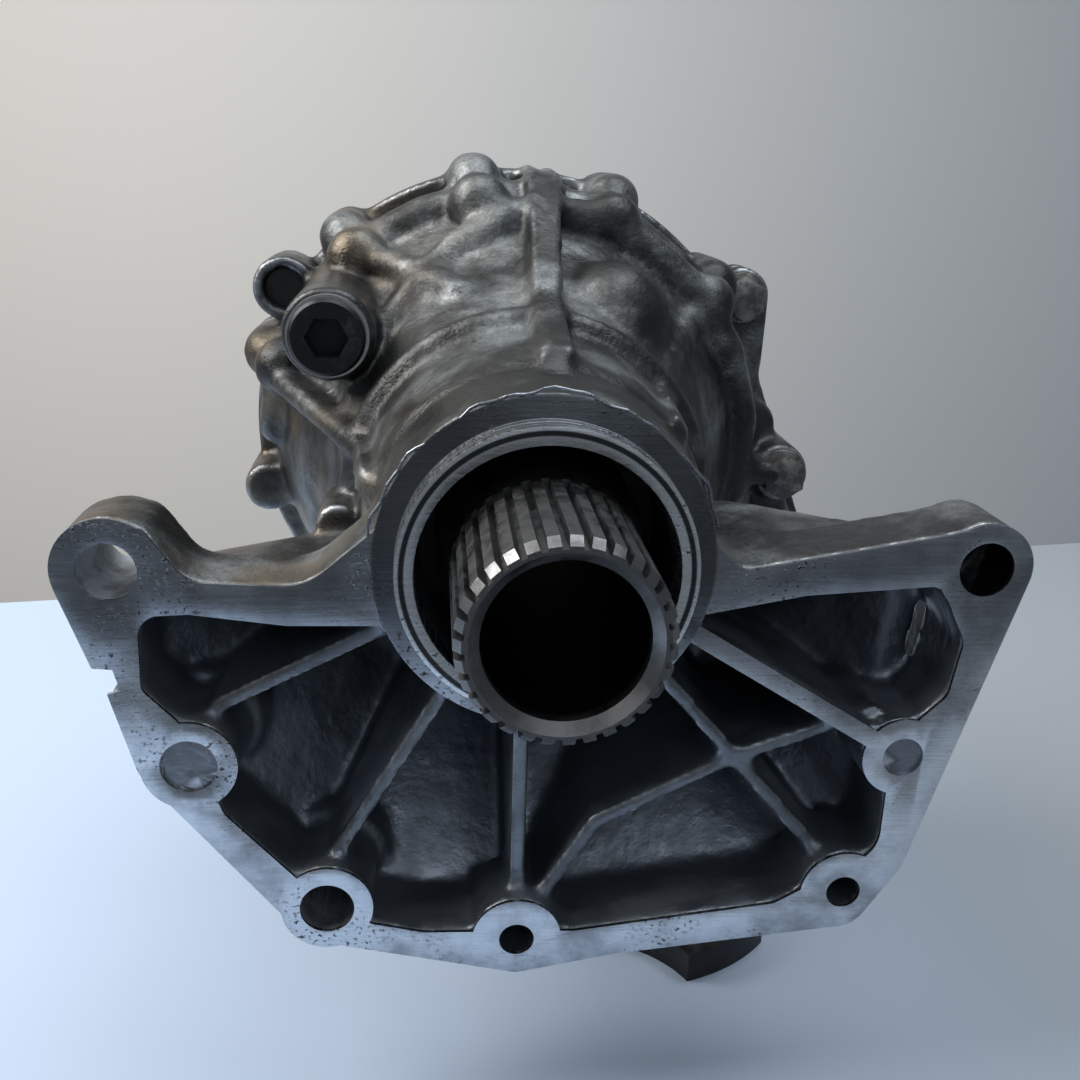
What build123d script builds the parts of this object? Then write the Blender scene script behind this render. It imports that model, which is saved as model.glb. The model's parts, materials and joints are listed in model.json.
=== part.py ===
from build123d import *
import os
from math import atan2, cos, degrees, hypot, pi, radians, sin, sqrt, tan

# Angle-drive transfer unit for a transverse gearbox, millimetres.
# Origin: input shaft axis at the face of the mounting flange. +Y runs into the housing,
# +X is right and +Z is up when the flange face is looked at.

# Mounting flange
EAR_HEIGHT = -1.1
EAR_LEFT_X = -94.6
EAR_RIGHT_X = 101.7
EAR_LEFT_R = 12.0
EAR_RIGHT_R = 11.0
FLANGE_HOLE_R = 6.5
FLANGE_THREAD_R = 4.3
THREAD_DEPTH = 20.0
DOWEL_HOLE_R = 5.0
DOWEL_HOLE_DEPTH = 12.0
BOSS_R = 11.0
DOWEL_BOSS_R = 10.0
LOWER_LEFT_HOLES = [(-80.3, -48.3), (-50.2, -87.3)]
THREADED_HOLES = [(-4.3, -97.8), (77.4, -86.7)]
DOWEL_HOLE = (88.0, -49.1)
RIM_DEPTH = 22.0
BOSS_DEPTH = 30.0
SPOT_DEPTH = 14.0
EAR_DEPTH = 18.5
SKIRT_DEPTH = 60.0
SKIRT_WALL = 5.0
RIB_RECESS = 6.0
RIB_WIDTH = 4.0
SEAL_RIB_WIDTH = 4.5

# Pilot spigot, neck and dome of the case
BORE_R = 29.2
SPIGOT_R = 33.3
SPIGOT_LENGTH = 7.0
RING_GROOVE_Y = -3.2
O_RING_SECTION_R = 1.0
COLLAR_R = 38.5
NECK_R = 43.8
NECK_END_Y = 50.0
DOME_R = 74.0
JOINT_Y = 146.0
JOINT_THICKNESS = 8.5
JOINT_R = 81.5
COVER_BOLT_CIRCLE_R = 79.0
COVER_BOLT_ANGLES = [3, 38, 68, 99, 130, 161, 193, 225, 275, 325]
COVER_BOLT_BOSS_R = 8.0
M8_R = 4.0
M8_HEAD_R = 6.5
M8_HEAD_HEIGHT = 5.3
DOWEL_R = 3.0
DOWEL_CIRCLE_R = 74.0
DOWEL_ANGLES = [54, 240]
DOWEL_LENGTH = 12.0
COVER_BOLT_GRIP = 15.0
RING_CAVITY_R = 66.5

# Ring gear and pinion: straight teeth along the generators of two skew hyperboloids
PINION_X = 36.0
PINION_Y = 102.0
RING_TEETH = 33
PINION_TEETH = 13
RING_OUTER_R = 62.0
RING_INNER_R = 49.0
ADDENDUM_SHARE = 0.15
DEDENDUM_SHARE = 0.235
TOOTH_SHARE = 0.45
FLANK_ANGLE = 22.0
RING_RIM = 9.0
RING_BOLT_CIRCLE_R = 54.0
RING_BOLTS = 8
RING_BOLT_DEPTH = 9.0

# Input shaft
SHAFT_FRONT_Y = -44.4
SPLINE_TEETH = 31
SPLINE_TIP_R = 21.4
SPLINE_ROOT_R = 19.2
SPLINE_END_Y = -4.0
SHAFT_BORE_R = 16.4
SHAFT_BORE_LEAD_R = 18.6
SEAL_LAND_R = 24.0
FRONT_SEAT_R = 25.0
SHAFT_TUBE_R = 27.0
REAR_SEAT_R = 24.0
DISC_THICKNESS = 8.5
DISC_R = 60.5
PILOT_STEP = 3.5

# Bearings: seat radius, cup radius, width
BEARING_WIDTH = 17.0
FRONT_CUP_R = 38.0
REAR_CUP_R = 38.0
FRONT_BEARING_Y = 56.0
ROLLERS = 12
ROLLER_AIR = 0.12
HEAD_SEAT_R = 17.5
HEAD_CUP_R = 35.0
HEAD_BEARING_Z = -60.5
HEAD_BEARING_WIDTH = 16.0
TAIL_SEAT_R = 15.0
TAIL_CUP_R = 30.0
TAIL_BEARING_Z = -100.5
TAIL_BEARING_WIDTH = 14.0
SHIM = 1.2

# Shaft seals
SEAL_WIDTH = 8.0
FRONT_SEAL_Y = 30.0
REAR_SEAL_R = 31.0

# Pinion tower and companion flange
TOWER_TOP_Z = -20.0
TOWER_R = 43.5
TOWER_END_R = 37.0
TOWER_END_Z = -130.0
TABLE_Z = -150.0
COMPANION_R = 58.0
COMPANION_THICKNESS = 9.4
COMPANION_LOBE_ANGLE = -58.0
COMPANION_BOLT_CIRCLE_R = 46.0
COMPANION_HOLE_R = 5.2
COMPANION_PILOT_R = 26.0
HUB_R = 20.0
PINION_SPLINE_R = 13.5
PINION_THREAD_R = 11.0
NUT_HEIGHT = 11.0
WASHER = 2.5

# Fill plug, drain plug and breather
PLUG_PLACE = (-52.0, 40.0)
PLUG_FACE_Y = 66.0
PLUG_BOSS_R = 12.5
PLUG_THREAD_R = 8.0
PLUG_HEAD_R = 10.0
PLUG_HEAD = 3.0
PLUG_WASHER = 1.5
DRAIN_PLACE = (-34.0, 130.0)
DRAIN_FACE_Z = -80.0
BREATHER_PLACE = (7.0, 58.0)
BREATHER_STEM_R = 4.0

# Fits and small clearances
SEAT = 0.02
RUNNING = 0.05
AIR = 1.5

# Values worked out from those above
RATIO = PINION_TEETH / RING_TEETH
LINE_SHARE = RATIO ** 2 / (1 + RATIO ** 2)
PINION_LINE_X = PINION_X * LINE_SHARE
RING_LINE_X = PINION_X - PINION_LINE_X
MESH_NEAR = sqrt(RING_INNER_R ** 2 - RING_LINE_X ** 2)
MESH_FAR = sqrt(RING_OUTER_R ** 2 - RING_LINE_X ** 2)


def pitch_height(reach):
    """Height of the common pitch line above the pinion axis, reach mm down the pinion."""
    return RATIO * reach


def pitch_radius(reach):
    return hypot(PINION_LINE_X, pitch_height(reach))


def tooth_pitch(reach):
    return 2 * pi * pitch_radius(reach) / PINION_TEETH


def root_y(reach):
    """Height of the ring gear's root cone, with the tilt of its tooth spaces."""
    return PINION_Y + pitch_height(reach) + 1.06 * DEDENDUM_SHARE * tooth_pitch(reach)


RING_BACK_Y = root_y(MESH_FAR) + RING_RIM
DISC_BACK_Y = RING_BACK_Y + DISC_THICKNESS
COVER_FLOOR_Y = DISC_BACK_Y + M8_HEAD_HEIGHT + 2 * AIR
REAR_BEARING_Y = COVER_FLOOR_Y + 1.0
REAR_SEAL_Y = REAR_BEARING_Y + BEARING_WIDTH + 4.0
COVER_END_Y = REAR_SEAL_Y + SEAL_WIDTH + 1.5
SHAFT_END_Y = COVER_END_Y - 2.0
PINION_NOSE_Z = -(MESH_NEAR - AIR)
PINION_BACK_Z = -(MESH_FAR + 1.0)
TAIL_SHOULDER_Z = TAIL_BEARING_Z - TAIL_BEARING_WIDTH
PINION_SEAL_Z = TAIL_SHOULDER_Z - 6.0
NUT_TOP_Z = TABLE_Z + 18.0
HEAD_SHOULDER_Z = HEAD_BEARING_Z - HEAD_BEARING_WIDTH
COVER_FLANGE_Y = JOINT_Y + 8.0
REAR_CUP_BACK_Y = REAR_BEARING_Y + BEARING_WIDTH
RING_GROOVE_FLOOR_R = SPIGOT_R - 2 * O_RING_SECTION_R - 2 * SEAT
BREATHER_Y = COVER_FLANGE_Y + 12.0
HEAD_SLEEVE_Z = HEAD_SHOULDER_Z + 0.06 * HEAD_BEARING_WIDTH
TAIL_SLEEVE_Z = TAIL_BEARING_Z - 0.06 * TAIL_BEARING_WIDTH
DISC_TOP_Z = TABLE_Z + COMPANION_THICKNESS

os.makedirs("parts", exist_ok=True)


def depth_plane(y):
    """Plane across the housing at depth y, seen as the photograph shows it."""
    return Plane.XZ.offset(-y)


RING_PLANE = Plane.XY
PINION_PLANE = Plane(origin=(PINION_X, PINION_Y, 0), x_dir=(1, 0, 0), z_dir=(0, -1, 0))
PINION_AXIS = Axis((PINION_X, PINION_Y, 0), (0, 0, 1))


def section(plane, points):
    """Closed straight-sided outline on a plane."""
    with BuildSketch(plane) as outline:
        with BuildLine():
            Polyline(*points, close=True)
        make_face()
    return outline.sketch


def rounded(plane, corners):
    """Closed outline from corners given as x, z and corner radius."""
    with BuildSketch(plane) as outline:
        with BuildLine():
            FilletPolyline(*[(x, z) for x, z, r in corners], radius=[r for x, z, r in corners], close=True)
        make_face()
    return outline.sketch


def save(part, name):
    part.label = name
    export_step(part, f"parts/{name}.step")


# Mounting flange outlines, x and z as seen from the gearbox
RIM_OUTLINE = [
    (-106.0, -5.0, 0), (-94.6, 10.6, 0), (-86.5, 8.5, 4), (-78.0, -3.6, 8), (-53.0, -4.8, 14),
    (-33.0, 12.0, 0), (34.0, 8.0, 0), (45.0, -1.2, 5), (92.0, 7.2, 8), (101.7, 9.7, 0),
    (112.3, -4.0, 0), (91.5, -80.0, 12), (81.0, -96.4, 8), (20.0, -103.0, 30), (-4.3, -107.6, 8),
    (-55.0, -96.2, 6), (-91.5, -50.0, 6), (-96.8, -30.0, 0), (-93.8, -29.2, 0), (-95.2, -24.0, 0),
    (-99.6, -23.6, 0),
]
POCKET_OUTLINE = [
    (-30.0, -14.0, 0), (-57.0, -13.8, 6), (-78.0, -11.0, 6), (-89.0, -11.5, 5), (-89.5, -29.0, 4),
    (-82.0, -37.0, 3), (-73.0, -61.0, 4), (-56.0, -80.0, 6), (-40.0, -92.0, 6), (-27.0, -95.0, 6),
    (10.0, -95.8, 5), (60.0, -89.5, 5), (85.0, -75.0, 9), (85.0, -45.0, 3), (97.0, -33.0, 5),
    (99.0, -19.0, 6), (92.0, -5.0, 5), (60.0, -7.2, 4), (30.0, -13.0, 0),
]
# Funnel of the skirt: wide ring behind the rim and narrow ring round the neck
SKIRT_WIDE = [
    (-95.0, -7.0), (-97.5, -25.0), (-90.0, -50.0), (-55.0, -95.0), (-4.0, -105.0),
    (78.0, -95.0), (91.0, -78.0), (98.0, -14.0), (86.0, 2.5), (-30.0, -5.0),
]
SKIRT_NARROW = [
    (-47.0, -10.0), (-50.0, -22.0), (-47.0, -36.0), (-30.0, -55.0), (-2.0, -62.0),
    (40.0, -58.0), (54.0, -42.0), (62.0, -12.0), (56.0, -2.0), (-30.0, -5.0),
]
# Ribs in the skirt, start and end as x and z
POCKET_RIBS = [
    ((-30, -14), (-74, -36)), ((-18, -26), (-48, -76)), ((-4, -34), (-4, -100)),
    ((26, -26), (78, -86)), ((2, -90), (15, -69)), ((15, -69), (50, -51)), ((50, -51), (82, -40)),
]
SEAL_RIB = ((34, -16), (88, -49.1))

# Outer and inner profile of neck and dome, radius and depth
DOME_OUTSIDE = [
    (COLLAR_R, 0), (COLLAR_R + 1.5, 22), (NECK_R - 2.2, 24), (NECK_R, NECK_END_Y),
    (NECK_R + 0.6, NECK_END_Y + 2), (NECK_R + 4, 64), (56, 84), (65.5, 102), (71.5, 118),
    (DOME_R, 132), (DOME_R + 1, JOINT_Y),
]
CASE_INSIDE = [
    (BORE_R, -SPIGOT_LENGTH), (BORE_R, FRONT_SEAL_Y + SEAL_WIDTH + 0.5),
    (BORE_R - 2.5, FRONT_SEAL_Y + SEAL_WIDTH + 0.5), (BORE_R - 2.5, FRONT_BEARING_Y - 8),
    (FRONT_CUP_R - 5, FRONT_BEARING_Y - 8), (FRONT_CUP_R - 5, FRONT_BEARING_Y - SHIM - SEAT),
    (FRONT_CUP_R + SEAT, FRONT_BEARING_Y - SHIM - SEAT), (FRONT_CUP_R + SEAT, FRONT_BEARING_Y + BEARING_WIDTH),
    (FRONT_CUP_R + 3, FRONT_BEARING_Y + BEARING_WIDTH + 4), (RING_CAVITY_R, 118), (RING_CAVITY_R, JOINT_Y),
]


def rib_plate(ends, width, near, far):
    """Straight rib between two points of the flange face, from depth near to depth far."""
    (x0, z0), (x1, z1) = ends
    length = hypot(x1 - x0, z1 - z0)
    turn = degrees(atan2(z1 - z0, x1 - x0))
    with BuildSketch(depth_plane(far)) as strip:
        with Locations(Location(((x0 + x1) / 2, (z0 + z1) / 2), turn)):
            SlotOverall(length + width, width)
    return extrude(strip.sketch, amount=far - near, mode=Mode.PRIVATE)


def flange_face():
    """Outline of the machined flange face with its ears and collar."""
    with BuildSketch(depth_plane(RIM_DEPTH)) as face:
        add(rounded(depth_plane(RIM_DEPTH), RIM_OUTLINE))
        with Locations((EAR_RIGHT_X, EAR_HEIGHT)):
            Circle(EAR_RIGHT_R)
        Circle(COLLAR_R)
    return face.sketch


def pocket_face():
    """Outline of the skirt's hollow: clear of the neck, the hole bosses and the sealing rib."""
    with BuildSketch(depth_plane(RIM_DEPTH)) as face:
        add(rounded(depth_plane(RIM_DEPTH), POCKET_OUTLINE))
        Circle(COLLAR_R, mode=Mode.SUBTRACT)
        with Locations(*LOWER_LEFT_HOLES, *THREADED_HOLES, (EAR_RIGHT_X, EAR_HEIGHT)):
            Circle(BOSS_R, mode=Mode.SUBTRACT)
        with Locations(DOWEL_HOLE):
            Circle(DOWEL_BOSS_R, mode=Mode.SUBTRACT)
    return face.sketch


with BuildPart() as skirt_form:
    extrude(flange_face(), amount=RIM_DEPTH)
    with BuildSketch(depth_plane(EAR_DEPTH)):
        with Locations((EAR_LEFT_X, EAR_HEIGHT)):
            Circle(EAR_LEFT_R)
    extrude(amount=EAR_DEPTH)
    loft([section(depth_plane(RIM_DEPTH), SKIRT_WIDE), section(depth_plane(SKIRT_DEPTH), SKIRT_NARROW)],
         ruled=True)

with BuildPart() as pocket_form:
    extrude(pocket_face(), amount=RIM_DEPTH)
    with BuildSketch(depth_plane(RIM_DEPTH)) as wide:
        add(offset(section(depth_plane(RIM_DEPTH), SKIRT_WIDE), -SKIRT_WALL - 3, kind=Kind.INTERSECTION,
                   mode=Mode.PRIVATE))
    with BuildSketch(depth_plane(SKIRT_DEPTH - SKIRT_WALL)) as narrow:
        add(offset(section(depth_plane(SKIRT_DEPTH - SKIRT_WALL), SKIRT_NARROW), -SKIRT_WALL / 2,
                   kind=Kind.INTERSECTION, mode=Mode.PRIVATE))
    loft([wide.sketch, narrow.sketch], ruled=True)


with BuildPart() as rib_form:
    for ends in POCKET_RIBS:
        add(rib_plate(ends, RIB_WIDTH, RIB_RECESS, SKIRT_DEPTH))
    add(rib_plate(SEAL_RIB, SEAL_RIB_WIDTH, 0, SKIRT_DEPTH))
    add(skirt_form.part, mode=Mode.INTERSECT)


def pinion_section(points):
    """Outline beside the pinion axis, points as radius and height."""
    return section(PINION_PLANE, points)


def dome_rib(angle, thickness, height):
    """Cast rib that follows the dome in a plane through the shaft axis."""
    plane = Plane(origin=(0, 0, 0), x_dir=(cos(radians(angle)), 0, sin(radians(angle))),
                  z_dir=(-sin(radians(angle)), 0, cos(radians(angle))))
    crest = [(r + height, y) for r, y in DOME_OUTSIDE if 10 < y < JOINT_Y - 2]
    foot = [(BORE_R + 3, JOINT_Y - JOINT_THICKNESS), (BORE_R + 3, 10)]
    return extrude(section(plane, crest + foot), amount=thickness / 2, both=True, mode=Mode.PRIVATE)


def bolt_places(radius, angles):
    return [(radius * cos(radians(a)), radius * sin(radians(a))) for a in angles]


COVER_BOLT_PLACES = bolt_places(COVER_BOLT_CIRCLE_R, COVER_BOLT_ANGLES)
BOSS_FRONT_Y = JOINT_Y - 22.0

with BuildPart() as tower_form:
    revolve(pinion_section([
        (0, TOWER_TOP_Z), (TOWER_R - 14, TOWER_TOP_Z), (TOWER_R, TOWER_TOP_Z - 12), (TOWER_R, -82),
        (TOWER_END_R + 1, -102), (TOWER_END_R, TOWER_END_Z), (0, TOWER_END_Z),
    ]), axis=PINION_AXIS)
    for side in (20, 70, 110, 160, 200, 250, 290, 340):
        plane = Plane(origin=(PINION_X, PINION_Y, 0), x_dir=(cos(radians(side)), sin(radians(side)), 0),
                      z_dir=(sin(radians(side)), -cos(radians(side)), 0))
        gusset = section(plane, [(20, -78), (TOWER_R, -78), (TOWER_END_R + 3, TOWER_END_Z + 8),
                                 (20, TOWER_END_Z + 8)])
        extrude(gusset, amount=2.5, both=True)

# Bosses of the two lower left holes, with spot faces for bolt heads let into the skirt
with BuildPart() as boss_form:
    with BuildSketch(depth_plane(BOSS_DEPTH + SPOT_DEPTH + 2)):
        with Locations(*LOWER_LEFT_HOLES):
            Circle(BOSS_R + 3)
    extrude(amount=BOSS_DEPTH + SPOT_DEPTH + 2 - RIM_DEPTH)
    add(skirt_form.part, mode=Mode.INTERSECT)

with BuildPart() as main_case:
    add(skirt_form.part)
    add(pocket_form.part, mode=Mode.SUBTRACT)
    add(rib_form.part)
    add(boss_form.part)
    with BuildSketch(depth_plane(BOSS_DEPTH)):
        with Locations(*LOWER_LEFT_HOLES):
            Circle(BOSS_R)
    extrude(amount=BOSS_DEPTH)
    with BuildSketch(depth_plane(BOSS_DEPTH + SPOT_DEPTH)):
        with Locations(*LOWER_LEFT_HOLES):
            Circle(BOSS_R - 0.5)
    extrude(amount=SPOT_DEPTH, mode=Mode.SUBTRACT)
    revolve(section(RING_PLANE, DOME_OUTSIDE + [(10, JOINT_Y), (10, 0)]), axis=Axis.Y)
    with BuildSketch(depth_plane(0)):
        Circle(SPIGOT_R)
    extrude(amount=SPIGOT_LENGTH)
    add(tower_form.part)
    with BuildSketch(depth_plane(JOINT_Y)):
        Circle(JOINT_R)
    extrude(amount=JOINT_THICKNESS)
    with BuildSketch(depth_plane(JOINT_Y)):
        with Locations(*COVER_BOLT_PLACES):
            Circle(COVER_BOLT_BOSS_R)
    extrude(amount=JOINT_Y - BOSS_FRONT_Y)
    with BuildSketch(depth_plane(JOINT_Y - JOINT_THICKNESS)):
        with Locations(PLUG_PLACE):
            Circle(PLUG_BOSS_R)
    extrude(amount=JOINT_Y - JOINT_THICKNESS - PLUG_FACE_Y)
    add(dome_rib(86, 7.0, 2.6))
    add(dome_rib(163, 6.0, 3.0))
    add(dome_rib(38, 6.0, 2.0))
    add(dome_rib(225, 6.0, 3.0))
    with BuildSketch(Plane.XY.offset(DRAIN_FACE_Z)):
        with Locations(DRAIN_PLACE):
            Circle(PLUG_BOSS_R)
    extrude(amount=-DRAIN_FACE_Z - 40)
    # Inside of neck, dome and tower
    revolve(section(RING_PLANE, CASE_INSIDE + [(0, JOINT_Y), (0, -SPIGOT_LENGTH)]), axis=Axis.Y,
            mode=Mode.SUBTRACT)
    revolve(pinion_section([
        (0, PINION_NOSE_Z + 6), (HEAD_CUP_R + 1, PINION_NOSE_Z + 6), (HEAD_CUP_R + 1, HEAD_BEARING_Z),
        (HEAD_CUP_R + SEAT, HEAD_BEARING_Z), (HEAD_CUP_R + SEAT, HEAD_SHOULDER_Z - SHIM - SEAT),
        (HEAD_CUP_R - 5, HEAD_SHOULDER_Z - SHIM - SEAT), (HEAD_CUP_R - 5, HEAD_SHOULDER_Z - 6),
        (HEAD_CUP_R - 2, HEAD_SHOULDER_Z - 9), (TAIL_CUP_R - 4, TAIL_BEARING_Z + 5),
        (TAIL_CUP_R - 4, TAIL_BEARING_Z + SEAT), (TAIL_CUP_R + SEAT, TAIL_BEARING_Z + SEAT),
        (TAIL_CUP_R + SEAT, TOWER_END_Z), (0, TOWER_END_Z),
    ]), axis=PINION_AXIS, mode=Mode.SUBTRACT)
    # Holes of the mounting flange
    with BuildSketch(depth_plane(BOSS_DEPTH)):
        with Locations((EAR_LEFT_X, EAR_HEIGHT), (EAR_RIGHT_X, EAR_HEIGHT), *LOWER_LEFT_HOLES):
            Circle(FLANGE_HOLE_R)
    extrude(amount=BOSS_DEPTH, mode=Mode.SUBTRACT)
    with BuildSketch(depth_plane(THREAD_DEPTH)):
        with Locations(*THREADED_HOLES):
            Circle(FLANGE_THREAD_R)
    extrude(amount=THREAD_DEPTH, mode=Mode.SUBTRACT)
    with BuildSketch(depth_plane(DOWEL_HOLE_DEPTH)):
        with Locations(DOWEL_HOLE):
            Circle(DOWEL_HOLE_R)
    extrude(amount=DOWEL_HOLE_DEPTH, mode=Mode.SUBTRACT)
    # Holes for cover bolts, dowels and plugs
    with BuildSketch(depth_plane(JOINT_Y)):
        with Locations(*COVER_BOLT_PLACES):
            Circle(M8_R)
    extrude(amount=COVER_BOLT_GRIP + 1, mode=Mode.SUBTRACT)
    with BuildSketch(depth_plane(JOINT_Y)):
        with Locations(*bolt_places(DOWEL_CIRCLE_R, DOWEL_ANGLES)):
            Circle(DOWEL_R)
    extrude(amount=DOWEL_LENGTH / 2 + 0.5, mode=Mode.SUBTRACT)
    with BuildSketch(depth_plane(PLUG_FACE_Y)):
        with Locations(PLUG_PLACE):
            Circle(PLUG_THREAD_R)
    extrude(amount=-64, mode=Mode.SUBTRACT)
    with BuildSketch(Plane.XY.offset(DRAIN_FACE_Z)):
        with Locations(DRAIN_PLACE):
            Circle(PLUG_THREAD_R)
    extrude(amount=30, mode=Mode.SUBTRACT)
    # Groove of the pilot O-ring
    revolve(section(RING_PLANE, [
        (RING_GROOVE_FLOOR_R, RING_GROOVE_Y - O_RING_SECTION_R - 0.2),
        (SPIGOT_R + 2, RING_GROOVE_Y - O_RING_SECTION_R - 0.2),
        (SPIGOT_R + 2, RING_GROOVE_Y + O_RING_SECTION_R + 0.2),
        (RING_GROOVE_FLOOR_R, RING_GROOVE_Y + O_RING_SECTION_R + 0.2),
    ]), axis=Axis.Y, mode=Mode.SUBTRACT)

save(main_case.part, "main_case")

# Rear cover with bearing seat, half shaft seal and breather boss
with BuildPart() as rear_cover:
    revolve(section(RING_PLANE, [
        (0, JOINT_Y), (JOINT_R, JOINT_Y), (JOINT_R, COVER_FLANGE_Y), (DOME_R - 4.5, COVER_FLANGE_Y),
        (DOME_R - 7, COVER_FLOOR_Y + 7), (REAR_CUP_R + 9, COVER_FLOOR_Y + 11),
        (REAR_CUP_R + 7, COVER_END_Y - 3), (REAR_CUP_R + 4, COVER_END_Y), (0, COVER_END_Y),
    ]), axis=Axis.Y)
    with BuildSketch(depth_plane(COVER_FLANGE_Y)):
        with Locations(*COVER_BOLT_PLACES):
            Circle(COVER_BOLT_BOSS_R)
    extrude(amount=COVER_FLANGE_Y - JOINT_Y)
    with BuildSketch(depth_plane(BREATHER_Y)):
        with Locations(BREATHER_PLACE):
            Circle(7.5)
    extrude(amount=BREATHER_Y - COVER_FLANGE_Y)
    for angle in range(15, 375, 45):
        plane = Plane(origin=(0, 0, 0), x_dir=(cos(radians(angle)), 0, sin(radians(angle))),
                      z_dir=(-sin(radians(angle)), 0, cos(radians(angle))))
        web = section(plane, [(REAR_CUP_R + 5, COVER_FLOOR_Y + 4), (DOME_R - 5, COVER_FLANGE_Y),
                              (DOME_R - 7, COVER_FLOOR_Y + 9), (REAR_CUP_R + 5, COVER_END_Y - 5)])
        extrude(web, amount=2.5, both=True)
    revolve(section(RING_PLANE, [
        (0, JOINT_Y), (RING_CAVITY_R - 2, JOINT_Y), (RING_CAVITY_R - 2, COVER_FLOOR_Y),
        (REAR_CUP_R + SEAT, COVER_FLOOR_Y), (REAR_CUP_R + SEAT, REAR_CUP_BACK_Y + SHIM + SEAT),
        (REAR_CUP_R - 5, REAR_CUP_BACK_Y + SHIM + SEAT), (REAR_CUP_R - 5, REAR_SEAL_Y),
        (REAR_SEAL_R + SEAT, REAR_SEAL_Y), (REAR_SEAL_R + SEAT, COVER_END_Y), (0, COVER_END_Y),
    ]), axis=Axis.Y, mode=Mode.SUBTRACT)
    with BuildSketch(depth_plane(COVER_FLANGE_Y)):
        with Locations(*COVER_BOLT_PLACES):
            Circle(M8_R + 0.4)
    extrude(amount=COVER_FLANGE_Y - JOINT_Y, mode=Mode.SUBTRACT)
    with BuildSketch(depth_plane(JOINT_Y + DOWEL_LENGTH / 2 + 0.5)):
        with Locations(*bolt_places(DOWEL_CIRCLE_R, DOWEL_ANGLES)):
            Circle(DOWEL_R)
    extrude(amount=DOWEL_LENGTH / 2 + 0.5, mode=Mode.SUBTRACT)
    with BuildSketch(depth_plane(BREATHER_Y)):
        with Locations(BREATHER_PLACE):
            Circle(BREATHER_STEM_R)
    extrude(amount=BREATHER_Y - JOINT_Y, mode=Mode.SUBTRACT)
save(rear_cover.part, "rear_cover")


def ring_piece(name, points):
    """Piece turned about the ring shaft axis, points as radius and depth."""
    with BuildPart() as piece:
        revolve(section(RING_PLANE, points), axis=Axis.Y)
    save(piece.part, name)


def pinion_piece(name, points):
    """Piece turned about the pinion axis, points as radius and height."""
    with BuildPart() as piece:
        revolve(pinion_section(points), axis=PINION_AXIS)
    save(piece.part, name)


def bolts(name, places, seat_y, grip):
    """Hexagon bolts whose heads sit on depth seat_y and whose shanks point to the flange face."""
    with BuildPart() as group:
        with BuildSketch(depth_plane(seat_y)):
            with Locations(*places):
                Circle(M8_R - SEAT)
        extrude(amount=grip)
        with BuildSketch(depth_plane(seat_y + M8_HEAD_HEIGHT)):
            with Locations(*places):
                RegularPolygon(M8_HEAD_R, 6, major_radius=False)
        extrude(amount=M8_HEAD_HEIGHT)
    save(group.part, name)


bolts("cover_bolts", COVER_BOLT_PLACES, COVER_FLANGE_Y, COVER_FLANGE_Y - JOINT_Y + COVER_BOLT_GRIP)

with BuildPart() as cover_dowels:
    with BuildSketch(depth_plane(JOINT_Y + DOWEL_LENGTH / 2)):
        with Locations(*bolt_places(DOWEL_CIRCLE_R, DOWEL_ANGLES)):
            Circle(DOWEL_R - SEAT)
    extrude(amount=DOWEL_LENGTH)
save(cover_dowels.part, "cover_dowels")

with BuildPart() as pilot_o_ring:
    with BuildSketch(RING_PLANE):
        with Locations((RING_GROOVE_FLOOR_R + O_RING_SECTION_R + SEAT, RING_GROOVE_Y)):
            Circle(O_RING_SECTION_R)
    revolve(axis=Axis.Y)
save(pilot_o_ring.part, "pilot_o_ring")


def seal_outline(shaft_r, bore_r, back, width):
    """Lip seal profile: case, web and lip, from back to back + width."""
    lip = shaft_r + RUNNING
    skin = bore_r
    front = back + width
    step = 1 if width > 0 else -1
    return [(skin, back), (skin, front), (skin - 1.6, front), (skin - 1.6, back + 2 * step),
            (lip + 1.6, back + 2 * step), (lip + 1.2, front - 1.5 * step), (lip, front - 2.5 * step),
            (lip + 0.4, back)]


ring_piece("input_seal", seal_outline(SEAL_LAND_R, BORE_R - SEAT, FRONT_SEAL_Y, SEAL_WIDTH))
ring_piece("rear_seal", seal_outline(REAR_SEAT_R, REAR_SEAL_R, COVER_END_Y - 1, -SEAL_WIDTH))
pinion_piece("pinion_seal", seal_outline(HUB_R, TAIL_CUP_R, PINION_SEAL_Z - SEAL_WIDTH, SEAL_WIDTH))
ring_piece("front_shim", [
    (FRONT_CUP_R - 5, FRONT_BEARING_Y - SHIM), (FRONT_CUP_R, FRONT_BEARING_Y - SHIM),
    (FRONT_CUP_R, FRONT_BEARING_Y), (FRONT_CUP_R - 5, FRONT_BEARING_Y)])
ring_piece("rear_shim", [
    (REAR_CUP_R - 5, REAR_CUP_BACK_Y), (REAR_CUP_R, REAR_CUP_BACK_Y),
    (REAR_CUP_R, REAR_CUP_BACK_Y + SHIM), (REAR_CUP_R - 5, REAR_CUP_BACK_Y + SHIM)])
pinion_piece("pinion_shim", [
    (HEAD_CUP_R - 5, HEAD_SHOULDER_Z), (HEAD_CUP_R, HEAD_SHOULDER_Z),
    (HEAD_CUP_R, HEAD_SHOULDER_Z - SHIM), (HEAD_CUP_R - 5, HEAD_SHOULDER_Z - SHIM)])


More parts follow.
